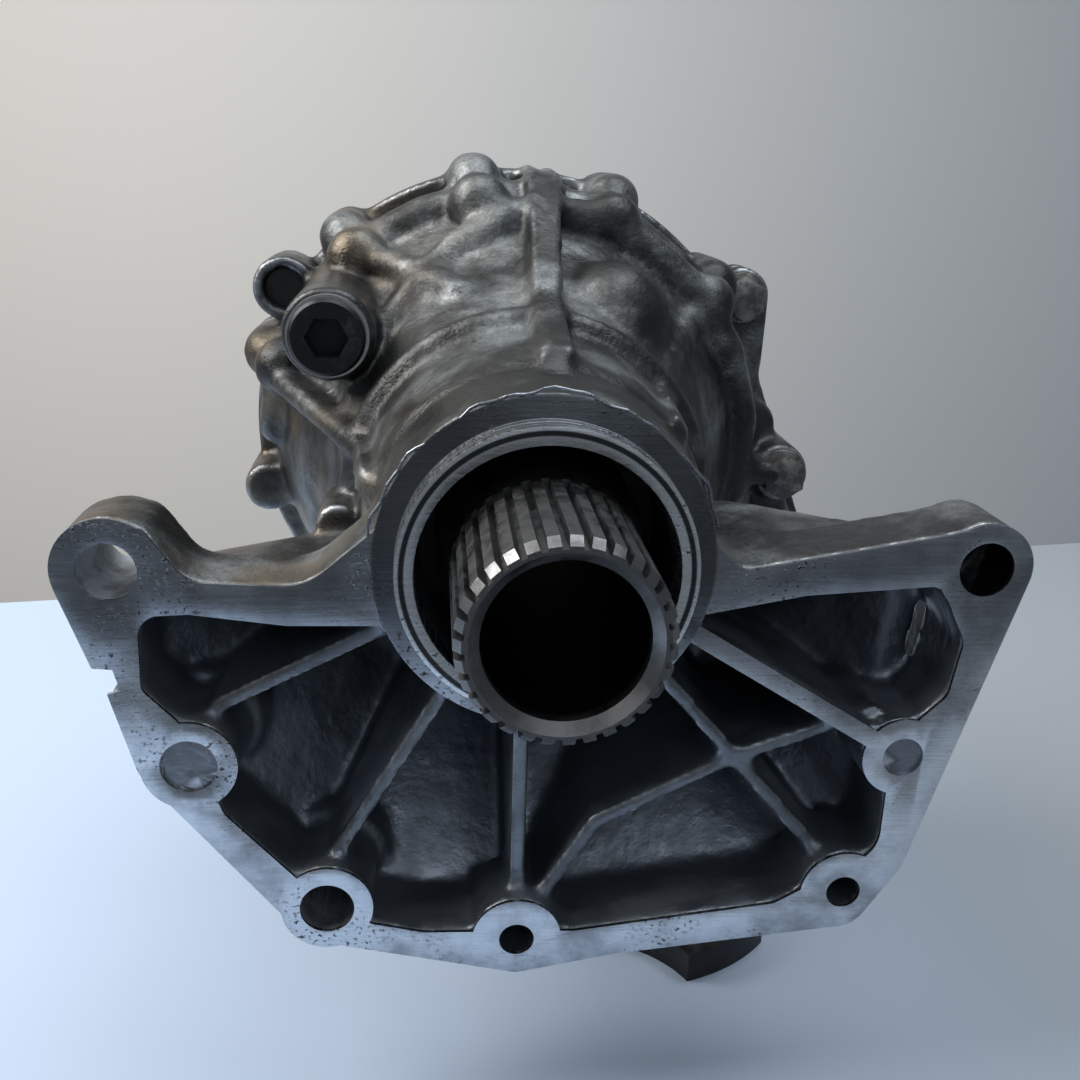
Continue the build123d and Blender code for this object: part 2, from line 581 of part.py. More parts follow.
def taper_bearing(name, plane, seat_r, cup_r, width):
    """Cup, cone, rollers and cage; local x is the radius and local y runs from the cup's back face."""
    middle = (seat_r + cup_r) / 2
    slope = 0.21
    taper = 0.05
    roller_r = 0.21 * (cup_r - seat_r)
    axis = Axis(plane.origin, plane.y_dir)

    def track(share, side):
        reach = (share - 0.5) * width
        return middle + slope * reach + side * (roller_r + taper * reach + ROLLER_AIR) * sqrt(1 + slope ** 2)

    with BuildPart() as cup:
        revolve(section(plane, [(cup_r, 0), (cup_r, 0.86 * width), (track(0.86, 1), 0.86 * width),
                                (track(0, 1), 0)]), axis=axis)
    save(cup.part, name + "_cup")
    with BuildPart() as cone:
        revolve(section(plane, [
            (seat_r + SEAT, 0.06 * width), (track(0.13, -1) + 0.7, 0.06 * width),
            (track(0.13, -1) + 0.7, 0.13 * width), (track(0.13, -1), 0.13 * width),
            (track(0.85, -1), 0.85 * width), (track(0.85, -1) + 1.8, 0.85 * width),
            (track(0.85, -1) + 1.8, width), (seat_r + SEAT, width),
        ]), axis=axis)
    save(cone.part, name + "_cone")
    length = 0.58 * width
    tilt = atan2(slope, 1)
    small_r = roller_r - taper * length / 2
    large_r = roller_r + taper * length / 2
    lean_in = plane.x_dir * cos(tilt) - plane.y_dir * sin(tilt)
    along = plane.x_dir * sin(tilt) + plane.y_dir * cos(tilt)
    centre = Plane(origin=plane.from_local_coords((middle, 0.5 * width, 0)), x_dir=lean_in, z_dir=along)
    with BuildPart() as rollers:
        with Locations(centre):
            Cone(small_r, large_r, length)
        first = rollers.part
        for turn in range(1, ROLLERS):
            add(first.rotate(axis, 360 * turn / ROLLERS))
    save(rollers.part, name + "_rollers")
    with BuildPart() as pocket:
        with Locations(centre):
            Cone(small_r + 2 * ROLLER_AIR, large_r + 2 * ROLLER_AIR, length + 4 * ROLLER_AIR)
    with BuildPart() as cage:
        low = (0.14 - 0.5) * width
        high = (0.92 - 0.5) * width
        ring_outline = [(middle + slope * low + 0.6, 0.14 * width), (middle + slope * low + 1.8, 0.14 * width),
                        (middle + slope * high + 1.8, 0.92 * width), (middle + slope * high + 0.6, 0.92 * width)]
        revolve(section(plane, ring_outline), axis=axis)
        for turn in range(ROLLERS):
            add(pocket.part.rotate(axis, 360 * turn / ROLLERS), mode=Mode.SUBTRACT)
    save(cage.part, name + "_cage")


taper_bearing("front_bearing", Plane(origin=(0, FRONT_BEARING_Y, 0), x_dir=(1, 0, 0), z_dir=(0, 0, 1)),
              FRONT_SEAT_R, FRONT_CUP_R, BEARING_WIDTH)
taper_bearing("rear_bearing", Plane(origin=(0, REAR_CUP_BACK_Y, 0), x_dir=(1, 0, 0), z_dir=(0, 0, -1)),
              REAR_SEAT_R, REAR_CUP_R, BEARING_WIDTH)
taper_bearing("pinion_head_bearing",
              Plane(origin=(PINION_X, PINION_Y, HEAD_SHOULDER_Z), x_dir=(1, 0, 0), z_dir=(0, -1, 0)),
              HEAD_SEAT_R, HEAD_CUP_R, HEAD_BEARING_WIDTH)
taper_bearing("pinion_tail_bearing",
              Plane(origin=(PINION_X, PINION_Y, TAIL_BEARING_Z), x_dir=(1, 0, 0), z_dir=(0, 1, 0)),
              TAIL_SEAT_R, TAIL_CUP_R, TAIL_BEARING_WIDTH)

# Hollow input shaft with splined nose and ring gear disc
with BuildPart() as input_shaft:
    revolve(section(RING_PLANE, [
        (SHAFT_BORE_LEAD_R, SHAFT_FRONT_Y), (SPLINE_ROOT_R + 0.6, SHAFT_FRONT_Y),
        (SPLINE_TIP_R, SHAFT_FRONT_Y + 2.0), (SPLINE_TIP_R, SPLINE_END_Y + 4), (SEAL_LAND_R, SPLINE_END_Y + 12),
        (SEAL_LAND_R, FRONT_BEARING_Y - 10), (FRONT_SEAT_R, FRONT_BEARING_Y - 9),
        (FRONT_SEAT_R, FRONT_BEARING_Y + BEARING_WIDTH), (FRONT_SEAT_R + 4, FRONT_BEARING_Y + BEARING_WIDTH),
        (FRONT_SEAT_R + 4, FRONT_BEARING_Y + BEARING_WIDTH + 4), (SHAFT_TUBE_R, FRONT_BEARING_Y + BEARING_WIDTH + 6),
        (SHAFT_TUBE_R, RING_BACK_Y - 14), (RING_INNER_R - 6, RING_BACK_Y - PILOT_STEP),
        (RING_INNER_R - SEAT, RING_BACK_Y - PILOT_STEP), (RING_INNER_R - SEAT, RING_BACK_Y),
        (DISC_R, RING_BACK_Y), (DISC_R, DISC_BACK_Y), (REAR_SEAT_R + 8, DISC_BACK_Y),
        (REAR_SEAT_R + 6, REAR_BEARING_Y), (REAR_SEAT_R, REAR_BEARING_Y), (REAR_SEAT_R, SHAFT_END_Y - 1.5),
        (REAR_SEAT_R - 1.5, SHAFT_END_Y), (SHAFT_BORE_R, SHAFT_END_Y),
        (SHAFT_BORE_R, SHAFT_FRONT_Y + SHAFT_BORE_LEAD_R - SHAFT_BORE_R),
    ]), axis=Axis.Y)
    with BuildSketch(depth_plane(SPLINE_END_Y)):
        with PolarLocations((SPLINE_TIP_R + SPLINE_ROOT_R) / 2 + 0.2, SPLINE_TEETH):
            Trapezoid(2.0, SPLINE_TIP_R - SPLINE_ROOT_R + 0.4, 82, rotation=90)
    extrude(amount=SPLINE_END_Y - SHAFT_FRONT_Y + 1, mode=Mode.SUBTRACT)
    with BuildSketch(depth_plane(DISC_BACK_Y)):
        with PolarLocations(RING_BOLT_CIRCLE_R, RING_BOLTS):
            Circle(M8_R + 0.25)
    extrude(amount=DISC_THICKNESS, mode=Mode.SUBTRACT)
save(input_shaft.part, "input_shaft")

RING_BOLT_PLACES = bolt_places(RING_BOLT_CIRCLE_R, [360 * i / RING_BOLTS for i in range(RING_BOLTS)])
bolts("ring_gear_bolts", RING_BOLT_PLACES, DISC_BACK_Y, DISC_THICKNESS + RING_BOLT_DEPTH)


def flank_spread(depth):
    return depth * tan(radians(FLANK_ANGLE))


def ring_tooth_section(reach):
    """Cross-section of the ring tooth in mesh, square to the pinion axis, reach mm down the pinion."""
    rise = pitch_height(reach)
    radius = pitch_radius(reach)
    step = tooth_pitch(reach)
    inward = (PINION_LINE_X / radius, -rise / radius)
    across = (rise / radius, PINION_LINE_X / radius)
    tip = ADDENDUM_SHARE * step
    foot = DEDENDUM_SHARE * step + 1.4
    half = TOOTH_SHARE * step / 2
    corners = [(tip, half - flank_spread(tip)), (tip, flank_spread(tip) - half),
               (-foot, -half - flank_spread(foot)), (-foot, half + flank_spread(foot))]
    base = (RING_LINE_X, PINION_Y + rise)
    points = [(base[0] + inward[0] * d + across[0] * w, base[1] + inward[1] * d + across[1] * w)
              for d, w in corners]
    return section(Plane.XY.offset(-reach), points)


def pinion_outline(reach):
    """Whole toothed outline of the pinion, reach mm down its axis, a tooth space on the mesh line."""
    radius = pitch_radius(reach)
    step = tooth_pitch(reach)
    lean = degrees(atan2(PINION_LINE_X, pitch_height(reach)))
    tip = ADDENDUM_SHARE * step
    foot = DEDENDUM_SHARE * step
    half = TOOTH_SHARE * step / 2
    shape = [(radius - foot, half + flank_spread(foot)), (radius + tip, half - flank_spread(tip)),
             (radius + tip, flank_spread(tip) - half), (radius - foot, -half - flank_spread(foot))]
    points = []
    for tooth in range(PINION_TEETH):
        turn = radians(90 + lean - 360 * (tooth + 0.5) / PINION_TEETH)
        for r, w in shape:
            points.append((PINION_X + r * cos(turn) - w * sin(turn), PINION_Y + r * sin(turn) + w * cos(turn)))
    return section(Plane.XY.offset(-reach), points)


# Ring gear: teeth lofted along the mesh line, kept between the ring's inner and outer radius
with BuildPart() as ring_tooth:
    loft([ring_tooth_section(MESH_NEAR - 3), ring_tooth_section(MESH_FAR + 2)], ruled=True)
    with BuildSketch(depth_plane(RING_BACK_Y)):
        Circle(RING_OUTER_R)
        Circle(RING_INNER_R, mode=Mode.SUBTRACT)
    extrude(amount=60, mode=Mode.INTERSECT)

with BuildPart() as ring_gear:
    revolve(section(RING_PLANE, [
        (RING_INNER_R, root_y(MESH_NEAR)), (RING_OUTER_R, root_y(MESH_FAR)), (RING_OUTER_R, RING_BACK_Y),
        (RING_INNER_R, RING_BACK_Y),
    ]), axis=Axis.Y)
    add([ring_tooth.part.rotate(Axis.Y, 360 * tooth / RING_TEETH) for tooth in range(RING_TEETH)])
    with BuildSketch(depth_plane(RING_BACK_Y)):
        with Locations(*RING_BOLT_PLACES):
            Circle(M8_R)
    extrude(amount=RING_BOLT_DEPTH + 0.5, mode=Mode.SUBTRACT)
save(ring_gear.part, "ring_gear")

# Drive pinion: skew-toothed head, bearing seats, spline and thread
with BuildPart() as drive_pinion:
    loft([pinion_outline(-PINION_NOSE_Z), pinion_outline(-PINION_BACK_Z)], ruled=True)
    revolve(pinion_section([
        (0, PINION_BACK_Z + 2), (HEAD_SEAT_R + 2, PINION_BACK_Z), (HEAD_SEAT_R + 2, HEAD_BEARING_Z),
        (HEAD_SEAT_R, HEAD_BEARING_Z), (HEAD_SEAT_R, HEAD_SLEEVE_Z + 1.5), (TAIL_SEAT_R, HEAD_SLEEVE_Z + 0.5),
        (TAIL_SEAT_R, TAIL_SHOULDER_Z + 1), (PINION_SPLINE_R, TAIL_SHOULDER_Z),
        (PINION_SPLINE_R, NUT_TOP_Z + 1), (PINION_THREAD_R, NUT_TOP_Z), (PINION_THREAD_R, TABLE_Z + 4.2),
        (0, TABLE_Z + 4.2),
    ]), axis=PINION_AXIS)
save(drive_pinion.part, "drive_pinion")

SLEEVE_MIDDLE_Z = (HEAD_SLEEVE_Z + TAIL_SLEEVE_Z) / 2
pinion_piece("crush_sleeve", [
    (TAIL_SEAT_R + SEAT, HEAD_SLEEVE_Z), (HEAD_SEAT_R + 2.5, HEAD_SLEEVE_Z),
    (HEAD_SEAT_R + 2.5, HEAD_SLEEVE_Z - 4), (HEAD_SEAT_R + 4.5, SLEEVE_MIDDLE_Z),
    (TAIL_SEAT_R + 2.8, TAIL_SLEEVE_Z + 4), (TAIL_SEAT_R + 2.8, TAIL_SLEEVE_Z),
    (TAIL_SEAT_R + SEAT, TAIL_SLEEVE_Z), (TAIL_SEAT_R + SEAT, TAIL_SLEEVE_Z + 4),
    (HEAD_SEAT_R + 2.0, SLEEVE_MIDDLE_Z), (TAIL_SEAT_R + SEAT, HEAD_SLEEVE_Z - 5)])

# Companion flange: scalloped disc with four holes on a splined hub
with BuildPart() as companion_flange:
    revolve(pinion_section([
        (PINION_SPLINE_R + SEAT, TAIL_SHOULDER_Z), (HUB_R, TAIL_SHOULDER_Z), (HUB_R, TABLE_Z + 13),
        (HUB_R + 9, DISC_TOP_Z), (COMPANION_R, DISC_TOP_Z), (COMPANION_R, TABLE_Z),
        (COMPANION_PILOT_R, TABLE_Z), (COMPANION_PILOT_R, TABLE_Z + 3.5), (HUB_R - 0.8, TABLE_Z + 5),
        (HUB_R - 0.8 - 1, NUT_TOP_Z), (PINION_SPLINE_R + SEAT, NUT_TOP_Z),
    ]), axis=PINION_AXIS)
    with BuildSketch(Plane.XY.offset(TABLE_Z)):
        for lobe in range(4):
            angle = COMPANION_LOBE_ANGLE + 90 * lobe
            with Locations((PINION_X + 72 * cos(radians(angle + 45)), PINION_Y + 72 * sin(radians(angle + 45)))):
                Circle(35)
            with Locations((PINION_X + COMPANION_BOLT_CIRCLE_R * cos(radians(angle)),
                            PINION_Y + COMPANION_BOLT_CIRCLE_R * sin(radians(angle)))):
                Circle(COMPANION_HOLE_R)
    extrude(amount=COMPANION_THICKNESS, mode=Mode.SUBTRACT)
save(companion_flange.part, "companion_flange")

pinion_piece("dust_shield", [
    (HUB_R + SEAT, TOWER_END_Z - 2), (TOWER_END_R + 2, TOWER_END_Z - 2), (TOWER_END_R + 2, TOWER_END_Z + 4),
    (TOWER_END_R + 3.2, TOWER_END_Z + 4), (TOWER_END_R + 3.2, TOWER_END_Z - 3.2), (HUB_R + SEAT, TOWER_END_Z - 3.2)])
pinion_piece("pinion_washer", [
    (PINION_THREAD_R + 0.2, NUT_TOP_Z), (PINION_THREAD_R + 6, NUT_TOP_Z),
    (PINION_THREAD_R + 6, NUT_TOP_Z - WASHER), (PINION_THREAD_R + 0.2, NUT_TOP_Z - WASHER)])
with BuildPart() as pinion_nut:
    with BuildSketch(Plane.XY.offset(NUT_TOP_Z - WASHER)):
        with Locations((PINION_X, PINION_Y)):
            RegularPolygon(13.5, 6, major_radius=False)
            Circle(PINION_THREAD_R + SEAT, mode=Mode.SUBTRACT)
    extrude(amount=-NUT_HEIGHT)
save(pinion_nut.part, "pinion_nut")


def hollow_plug(name, plane, reach):
    """Socket plug: head above the washer, shank reach mm into its hole, along the plane's normal."""
    with BuildPart() as plug:
        with BuildSketch(plane.offset(-reach)):
            Circle(PLUG_THREAD_R - SEAT)
        extrude(amount=reach + PLUG_WASHER)
        with BuildSketch(plane.offset(PLUG_WASHER)):
            Circle(PLUG_HEAD_R)
        extrude(amount=PLUG_HEAD)
        chamfer(plug.faces().sort_by(Axis(plane.origin, plane.z_dir))[-1].edges(), 0.8)
        with BuildSketch(plane.offset(PLUG_WASHER + PLUG_HEAD)):
            RegularPolygon(5, 6, major_radius=False)
        extrude(amount=-8, mode=Mode.SUBTRACT)
    save(plug.part, name)
    with BuildPart() as washer:
        with BuildSketch(plane):
            Circle(PLUG_HEAD_R + 0.8)
            Circle(PLUG_THREAD_R + 0.15, mode=Mode.SUBTRACT)
        extrude(amount=PLUG_WASHER)
    save(washer.part, name + "_washer")


hollow_plug("fill_plug", Plane(origin=(PLUG_PLACE[0], PLUG_FACE_Y, PLUG_PLACE[1]), x_dir=(1, 0, 0),
                               z_dir=(0, -1, 0)), 14.0)
hollow_plug("drain_plug", Plane(origin=(DRAIN_PLACE[0], DRAIN_PLACE[1], DRAIN_FACE_Z), x_dir=(1, 0, 0),
                                z_dir=(0, 0, -1)), 14.0)
with BuildPart() as drain_magnet:
    with BuildSketch(Plane.XY.offset(DRAIN_FACE_Z + 14)):
        with Locations(DRAIN_PLACE):
            Circle(4.0)
    extrude(amount=3)
save(drain_magnet.part, "drain_magnet")

with BuildPart() as breather:
    with BuildSketch(depth_plane(BREATHER_Y)):
        with Locations(BREATHER_PLACE):
            Circle(BREATHER_STEM_R - SEAT)
    extrude(amount=8)
    with BuildSketch(depth_plane(BREATHER_Y + 5)):
        with Locations(BREATHER_PLACE):
            RegularPolygon(6, 6, major_radius=False)
    extrude(amount=5)
    with BuildSketch(depth_plane(BREATHER_Y + 8)):
        with Locations(BREATHER_PLACE):
            Circle(3.5)
    extrude(amount=3)
    with BuildSketch(depth_plane(BREATHER_Y + 15)):
        with Locations(BREATHER_PLACE):
            Circle(6.5)
    extrude(amount=7)
save(breather.part, "breather")
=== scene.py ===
import json
from math import atan2, cos, hypot, pi, radians, sin

import bpy
from mathutils import Matrix, Vector


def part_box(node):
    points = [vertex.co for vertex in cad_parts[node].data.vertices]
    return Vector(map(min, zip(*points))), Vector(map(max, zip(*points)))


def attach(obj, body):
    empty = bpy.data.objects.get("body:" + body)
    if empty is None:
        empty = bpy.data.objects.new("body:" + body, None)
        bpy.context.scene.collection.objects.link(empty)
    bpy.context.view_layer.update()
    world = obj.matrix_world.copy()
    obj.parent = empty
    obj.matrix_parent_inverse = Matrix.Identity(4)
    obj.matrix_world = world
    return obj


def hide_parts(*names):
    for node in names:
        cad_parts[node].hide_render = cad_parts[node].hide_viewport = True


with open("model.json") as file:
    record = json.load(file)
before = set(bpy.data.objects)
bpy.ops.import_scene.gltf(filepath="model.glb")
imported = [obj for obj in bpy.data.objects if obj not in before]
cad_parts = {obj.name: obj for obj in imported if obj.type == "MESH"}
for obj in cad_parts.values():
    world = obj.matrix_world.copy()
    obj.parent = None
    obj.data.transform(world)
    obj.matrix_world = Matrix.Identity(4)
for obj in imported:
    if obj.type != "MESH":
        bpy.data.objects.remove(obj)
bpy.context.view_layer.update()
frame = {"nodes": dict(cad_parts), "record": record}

bl_info = {
    "name": "Angle Drive Unit",
    "version": (1, 0, 0),
    "blender": (4, 5, 0),
    "location": "View3D > Sidebar > Angle Drive",
    "description": "Cast and machined finishes of an angle drive with its ring gear, pinion and bearings",
    "category": "Object",
}

MM = 0.001
MOUNTS = {mount["name"]: mount for mount in frame["record"]["mounts"]}

FLANGE_SLICE = 0.9 * MM
TABLE_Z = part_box("companion_flange")[0].z

# Cast forms, in millimetres. Points on the dome are given as angle, radius and depth, or as radius and depth.
JOINT_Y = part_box("rear_cover")[0].y / MM
FLANGE_FRONT_Y = JOINT_Y - 8.5
STUD_ANGLES = (38, 68, 99, 130, 161)
STUD_RING_R, STUD_TIP_Y, STUD_R = 79, 124, 8.2
STUD_ROOT, STUD_ROOT_R = (73, 111), 9
SHOULDER, SHOULDER_R = (72.5, 121), 6.5
SHOULDER_ANGLES = range(-5, 190, 13)
DOME_RIDGE = ((-12, 70.5, 109), (8, 71, 109), (26, 71.5, 109), (44, 71.5, 109), (60, 71.5, 109),
              (76, 71, 108), (92, 68.5, 105), (107, 62.5, 98), (121, 56.5, 89), (138, 52.5, 81),
              (155, 48.5, 73), (172, 44.5, 66))
DOME_RIDGE_R = 5.6
TOP_RIB = ((43, 26), (46.5, 51), (51, 64), (62, 84), (72.5, 102), (79.5, 118), (80.5, 132), (80.5, 142))
TOP_RIB_ANGLES = (82.3, 86.7)
TOP_RIB_R = 2.5

# Cored boss behind the fill plug, with its place as x and z
CORED_BOSS = (-69, 46)
CORED_BOSS_FRONT_Y, CORED_BOSS_R = 116, 9.5
CORED_HOLE_DEPTHS, CORED_HOLE_R = (104, 125), 5.5

# Webs and lug on the left and lump beside the double rib, as x, depth and z
PLUG_WEB, PLUG_WEB_R = ((-52, 119, 56), (-35, 100, 55), (-18, 80, 50)), 4.4
LEFT_WEB, LEFT_WEB_R, LEFT_WEB_STEPS = ((-74, 114, 22), (-43, 54, 13)), 3.8, (0, 5, 10)
NECK_LUG, NECK_LUG_R = ((-49, 44, -5), (-49, 65, -5)), 5.6
LUMP, LUMP_R = (25, 87, 42), 17

# Rings round the neck, as radius, section and depth
NECK_STEP = (45.6, 4, 58.5)
NECK_GROOVE = (47.2, 3.2, 50.5)

# Corner of the joint flange over the pinion: places as x and z, webs as two places, width and front depth
FLANK = ((75.3, 43.5), (74.3, 15.8), (94.6, -38.2), (64.7, -45.3))
FLANK_WIDTH, FLANK_BOSS_R, COVER_FLANK_DEPTH = 19, 9.5, 8
FLANK_WEBS = (((66, 26), (88, -30), 15, 122), ((56, 12), (76, -36), 17, 114), ((50, -2), (86, -9), 8, 106))
JOINT_GAP = 0.1

# Front bolts as x, z and depth of their seats. Heads and washers as front and back from the seat and radius
FRONT_BOLTS = ((75.3, 43.5, FLANGE_FRONT_Y), (86.0, -9.0, 112.0), (94.6, -38.2, 126.0))
BOLT_HEAD, BOLT_WASHER = (5.5, 0.9, 7.2), (1.2, 0.1, 8.2)

# Wall of the skirt beside the right ear, as two places, width and both depths
EAR_WALL = ((103.5, -12), (99.5, -40), 4, 10, 33)

# Flash on the collar, and holes of the flange
COLLAR_R, FLASH_R, FLASH_DEPTH = 38.9, 0.4, 0.35
FLASH_ANGLES = range(14, 206, 3)
EAR_HOLE_DEPTH = 30
LINER_WALL, LINER_END = 0.6, 1.5

# Inside of the neck and dome: the cavity widens evenly between its least and its largest radius
CAVITY_Y, CAVITY_R, CAVITY_SLOPE = 77, 41, 0.622
CAVITY_LEAST_R, CAVITY_MOST_R, DOME_WALL = 38, 66.5, 3.5
NECK_END_Y, SKIRT_END_Y, SKIRT_TOP_Z, DOME_BOTTOM_Z = 60, 66, 4, -34

# Edges of finishes, as the two radii or depths of a smooth step
COLLAR_OUTER, COLLAR_INNER = (38.9 * MM, 38.0 * MM), (33.2 * MM, 33.6 * MM)
PILOT_EDGE = (33.5 * MM, 33.3 * MM)
PILOT_LINE_OUTER, PILOT_LINE_INNER = (32.6 * MM, 32.2 * MM), (31.0 * MM, 31.4 * MM)
SHAFT_BORE, SHAFT_MOUTH = (17.4 * MM, 16.6 * MM), (-41.5 * MM, -39 * MM)
FILL_PLUG = (-50.5, 68, 40.5)

# Stage, in metres
TABLE_EDGE = ((-0.254, 0.362), (0.403, 0.4615))
WALL_DEPTH = 1.7
CAMERA_PLACE = (-0.0252, -0.2436, 0.0875)
CAMERA_FORWARD = (0.0919, 0.9445, -0.3153)
CAMERA_UP = (0, 0.3167, 0.9485)
PART_MIDDLE = (0, 0.05, 0)
WARM = (1.0, 0.97, 0.93)
ROOM_COLOUR, ROOM_STRENGTH = (0.55, 0.60, 0.66, 1), 0.28
LAMPS = (
    # Name, place, aim, size, watts and colour
    ("window", (-0.85, 0.10, 0.80), PART_MIDDLE, 0.8, 18.0, WARM),
    ("ceiling", (0.25, 0.15, 1.2), PART_MIDDLE, 1.0, 12.0, (0.93, 0.97, 1.0)),
    ("room", (0.4, -1.3, 0.9), PART_MIDDLE, 1.0, 4.0, (0.86, 0.93, 1.0)),
    ("wall_wash", (-1.0, 0.55, 1.1), (-0.7, WALL_DEPTH, 0.3), 1.0, 8.5, WARM),
)


def colour(name, description, default):
    return bpy.props.FloatVectorProperty(name=name, description=description, size=3, subtype="COLOR",
                                         default=default)


class CastingSettings(bpy.types.PropertyGroup):
    """Sizes and colours of the cast aluminium housings"""

    voxel: bpy.props.FloatProperty(
        name="Cast Detail", description="Size of the smallest shape kept in the cast skin",
        default=1.2 * MM, min=0.8 * MM, subtype="DISTANCE", unit="LENGTH")
    smoothing: bpy.props.IntProperty(
        name="Smoothing", description="How often the cast skin is smoothed", default=9, min=0)
    blend: bpy.props.IntProperty(
        name="Blend", description="How often the outside of the dome is smoothed further", default=12, min=0)
    triangles: bpy.props.IntProperty(
        name="Triangles", description="Most triangles of a cast piece", default=185000, min=1000)
    burr: bpy.props.FloatProperty(
        name="Edge Break", description="Width of the broken edges of milled faces",
        default=0.4 * MM, min=0.0, subtype="DISTANCE", unit="LENGTH")
    skin: colour("Skin", "Colour of the clean cast skin", (0.25, 0.272, 0.28))
    grime: colour("Grime", "Colour of oil and road dirt in the hollows", (0.040, 0.041, 0.041))
    oil: colour("Oil Stain", "Colour of dried oil", (0.135, 0.11, 0.08))
    face: colour("Machined Face", "Colour of the milled flange face", (0.56, 0.605, 0.665))
    pocket_shade: colour("Pocket", "Colour of the oily hollows behind the flange", (0.20, 0.225, 0.262))
    stained: colour("Stained Face", "Colour of stains on milled faces", (0.17, 0.18, 0.195))
    dark_reflection: colour("Oiled Face", "Colour of milled faces under a film of oil", (0.15, 0.165, 0.185))
    collar: colour("Collar", "Colour of the oil on the collar", (0.065, 0.07, 0.076))
    pilot: colour("Pilot", "Colour of the bright front of the pilot", (0.62, 0.65, 0.68))
    groove: colour("Pilot Line", "Colour of the dark line on the pilot", (0.05, 0.052, 0.056))


class SteelSettings(bpy.types.PropertyGroup):
    """Colours of the steel, rubber and brass pieces"""

    shaft: colour("Shaft", "Colour of the hardened shaft", (0.165, 0.168, 0.172))
    bright: colour("Ground Steel", "Colour of ground and polished steel", (0.58, 0.57, 0.56))
    dark: colour("Blackened Steel", "Colour of blackened steel", (0.030, 0.031, 0.034))
    rust: colour("Rust", "Colour of light rust on bolts", (0.13, 0.07, 0.035))
    bore: colour("Bore", "Colour of the oily bore of the shaft", (0.004, 0.004, 0.004))
    zinc: colour("Zinc", "Colour of clean zinc plating", (0.23, 0.225, 0.21))
    dull_zinc: colour("Dull Zinc", "Colour of weathered zinc plating", (0.10, 0.10, 0.098))
    rubber: colour("Rubber", "Colour of the seals", (0.012, 0.012, 0.013))
    dusty_rubber: colour("Dusty Rubber", "Colour of dust on the seals", (0.035, 0.035, 0.036))
    brass: colour("Brass", "Colour of clean brass", (0.42, 0.30, 0.12))
    dull_brass: colour("Dull Brass", "Colour of weathered brass", (0.16, 0.11, 0.05))


class StageSettings(bpy.types.PropertyGroup):
    """Table, wall, lamps and camera"""

    table: colour("Table", "Colour of the table", (0.41, 0.50, 0.64))
    table_shade: colour("Table Shade", "Colour of the table away from the window", (0.29, 0.32, 0.355))
    wall: colour("Wall", "Colour of the lit part of the wall", (0.92, 0.885, 0.83))
    shade: colour("Shade", "Colour of the wall away from the window", (0.60, 0.635, 0.67))
    wall_depth: bpy.props.FloatProperty(
        name="Wall Depth", description="How far the wall stands behind the flange",
        default=WALL_DEPTH, min=0.6, subtype="DISTANCE", unit="LENGTH")
    lens: bpy.props.FloatProperty(
        name="Lens", description="Focal length on a sensor 36 mm wide", default=39.2, min=10.0)


def settings(name):
    return getattr(bpy.context.scene, "angle_drive_" + name)


# Modelling helpers

def alone(piece):
    """Selects one piece and nothing else."""
    bpy.ops.object.select_all(action="DESELECT")
    piece.select_set(True)
    bpy.context.view_layer.objects.active = piece


def edit(piece, *steps):
    """Runs edit mode steps on the whole mesh of a piece."""
    alone(piece)
    bpy.ops.object.mode_set(mode="EDIT")
    for step in steps:
        bpy.ops.mesh.select_all(action="SELECT")
        step()
    bpy.ops.object.mode_set(mode="OBJECT")


def merge():
    """Merges the doubled corners that a CAD mesh has along its edges."""
    bpy.ops.mesh.remove_doubles(threshold=0.002 * MM)


def copy_of(node, name):
    """New piece with a merged copy of a CAD node's mesh."""
    piece = bpy.data.objects.new(name, frame["nodes"][node].data.copy())
    bpy.context.scene.collection.objects.link(piece)
    piece.data.materials.clear()
    edit(piece, merge)
    return piece


def cut(piece, point, normal, keep_far):
    """Cuts a piece by a plane, closes the cut and keeps one side."""
    edit(piece, lambda: bpy.ops.mesh.bisect(plane_co=point, plane_no=normal, use_fill=True,
                                            clear_inner=keep_far, clear_outer=not keep_far))


def modify(piece, kind, **values):
    """Adds a modifier with the given values and applies it."""
    alone(piece)
    modifier = piece.modifiers.new(kind.lower(), kind)
    for key, value in values.items():
        setattr(modifier, key, value)
    bpy.ops.object.modifier_apply(modifier=modifier.name)


def join(pieces):
    """Joins pieces into the first one."""
    bpy.ops.object.select_all(action="DESELECT")
    for piece in pieces:
        piece.select_set(True)
    bpy.context.view_layer.objects.active = pieces[0]
    bpy.ops.object.join()
    return pieces[0]


def apply_place():
    bpy.ops.object.transform_apply(location=True, rotation=True, scale=True)


def rod(start, end, radius, sides=48):
    """Closed cylinder between two points."""
    start, end = Vector(start), Vector(end)
    along = end - start
    bpy.ops.object.select_all(action="DESELECT")
    bpy.ops.mesh.primitive_cylinder_add(vertices=sides, radius=radius, depth=along.length,
                                        location=(start + end) / 2,
                                        rotation=along.to_track_quat("Z", "Y").to_euler())
    apply_place()
    return bpy.context.object


def at(x, y, z):
    """Point given in millimetres."""
    return Vector((x, y, z)) * MM


def on_dome(angle, radius, depth):
    """Point at an angle and radius in millimetres about the shaft axis."""
    return at(radius * cos(radians(angle)), depth, radius * sin(radians(angle)))


def chain(points, radius):
    """Rods with rounded joints through a row of points."""
    made = [rod(start, end, radius, 24) for start, end in zip(points, points[1:])]
    return made + [ball(point, radius) for point in points]


def ball(place, radius):
    """Closed sphere."""
    bpy.ops.object.select_all(action="DESELECT")
    bpy.ops.mesh.primitive_uv_sphere_add(segments=32, ring_count=16, radius=radius, location=place)
    apply_place()
    return bpy.context.object


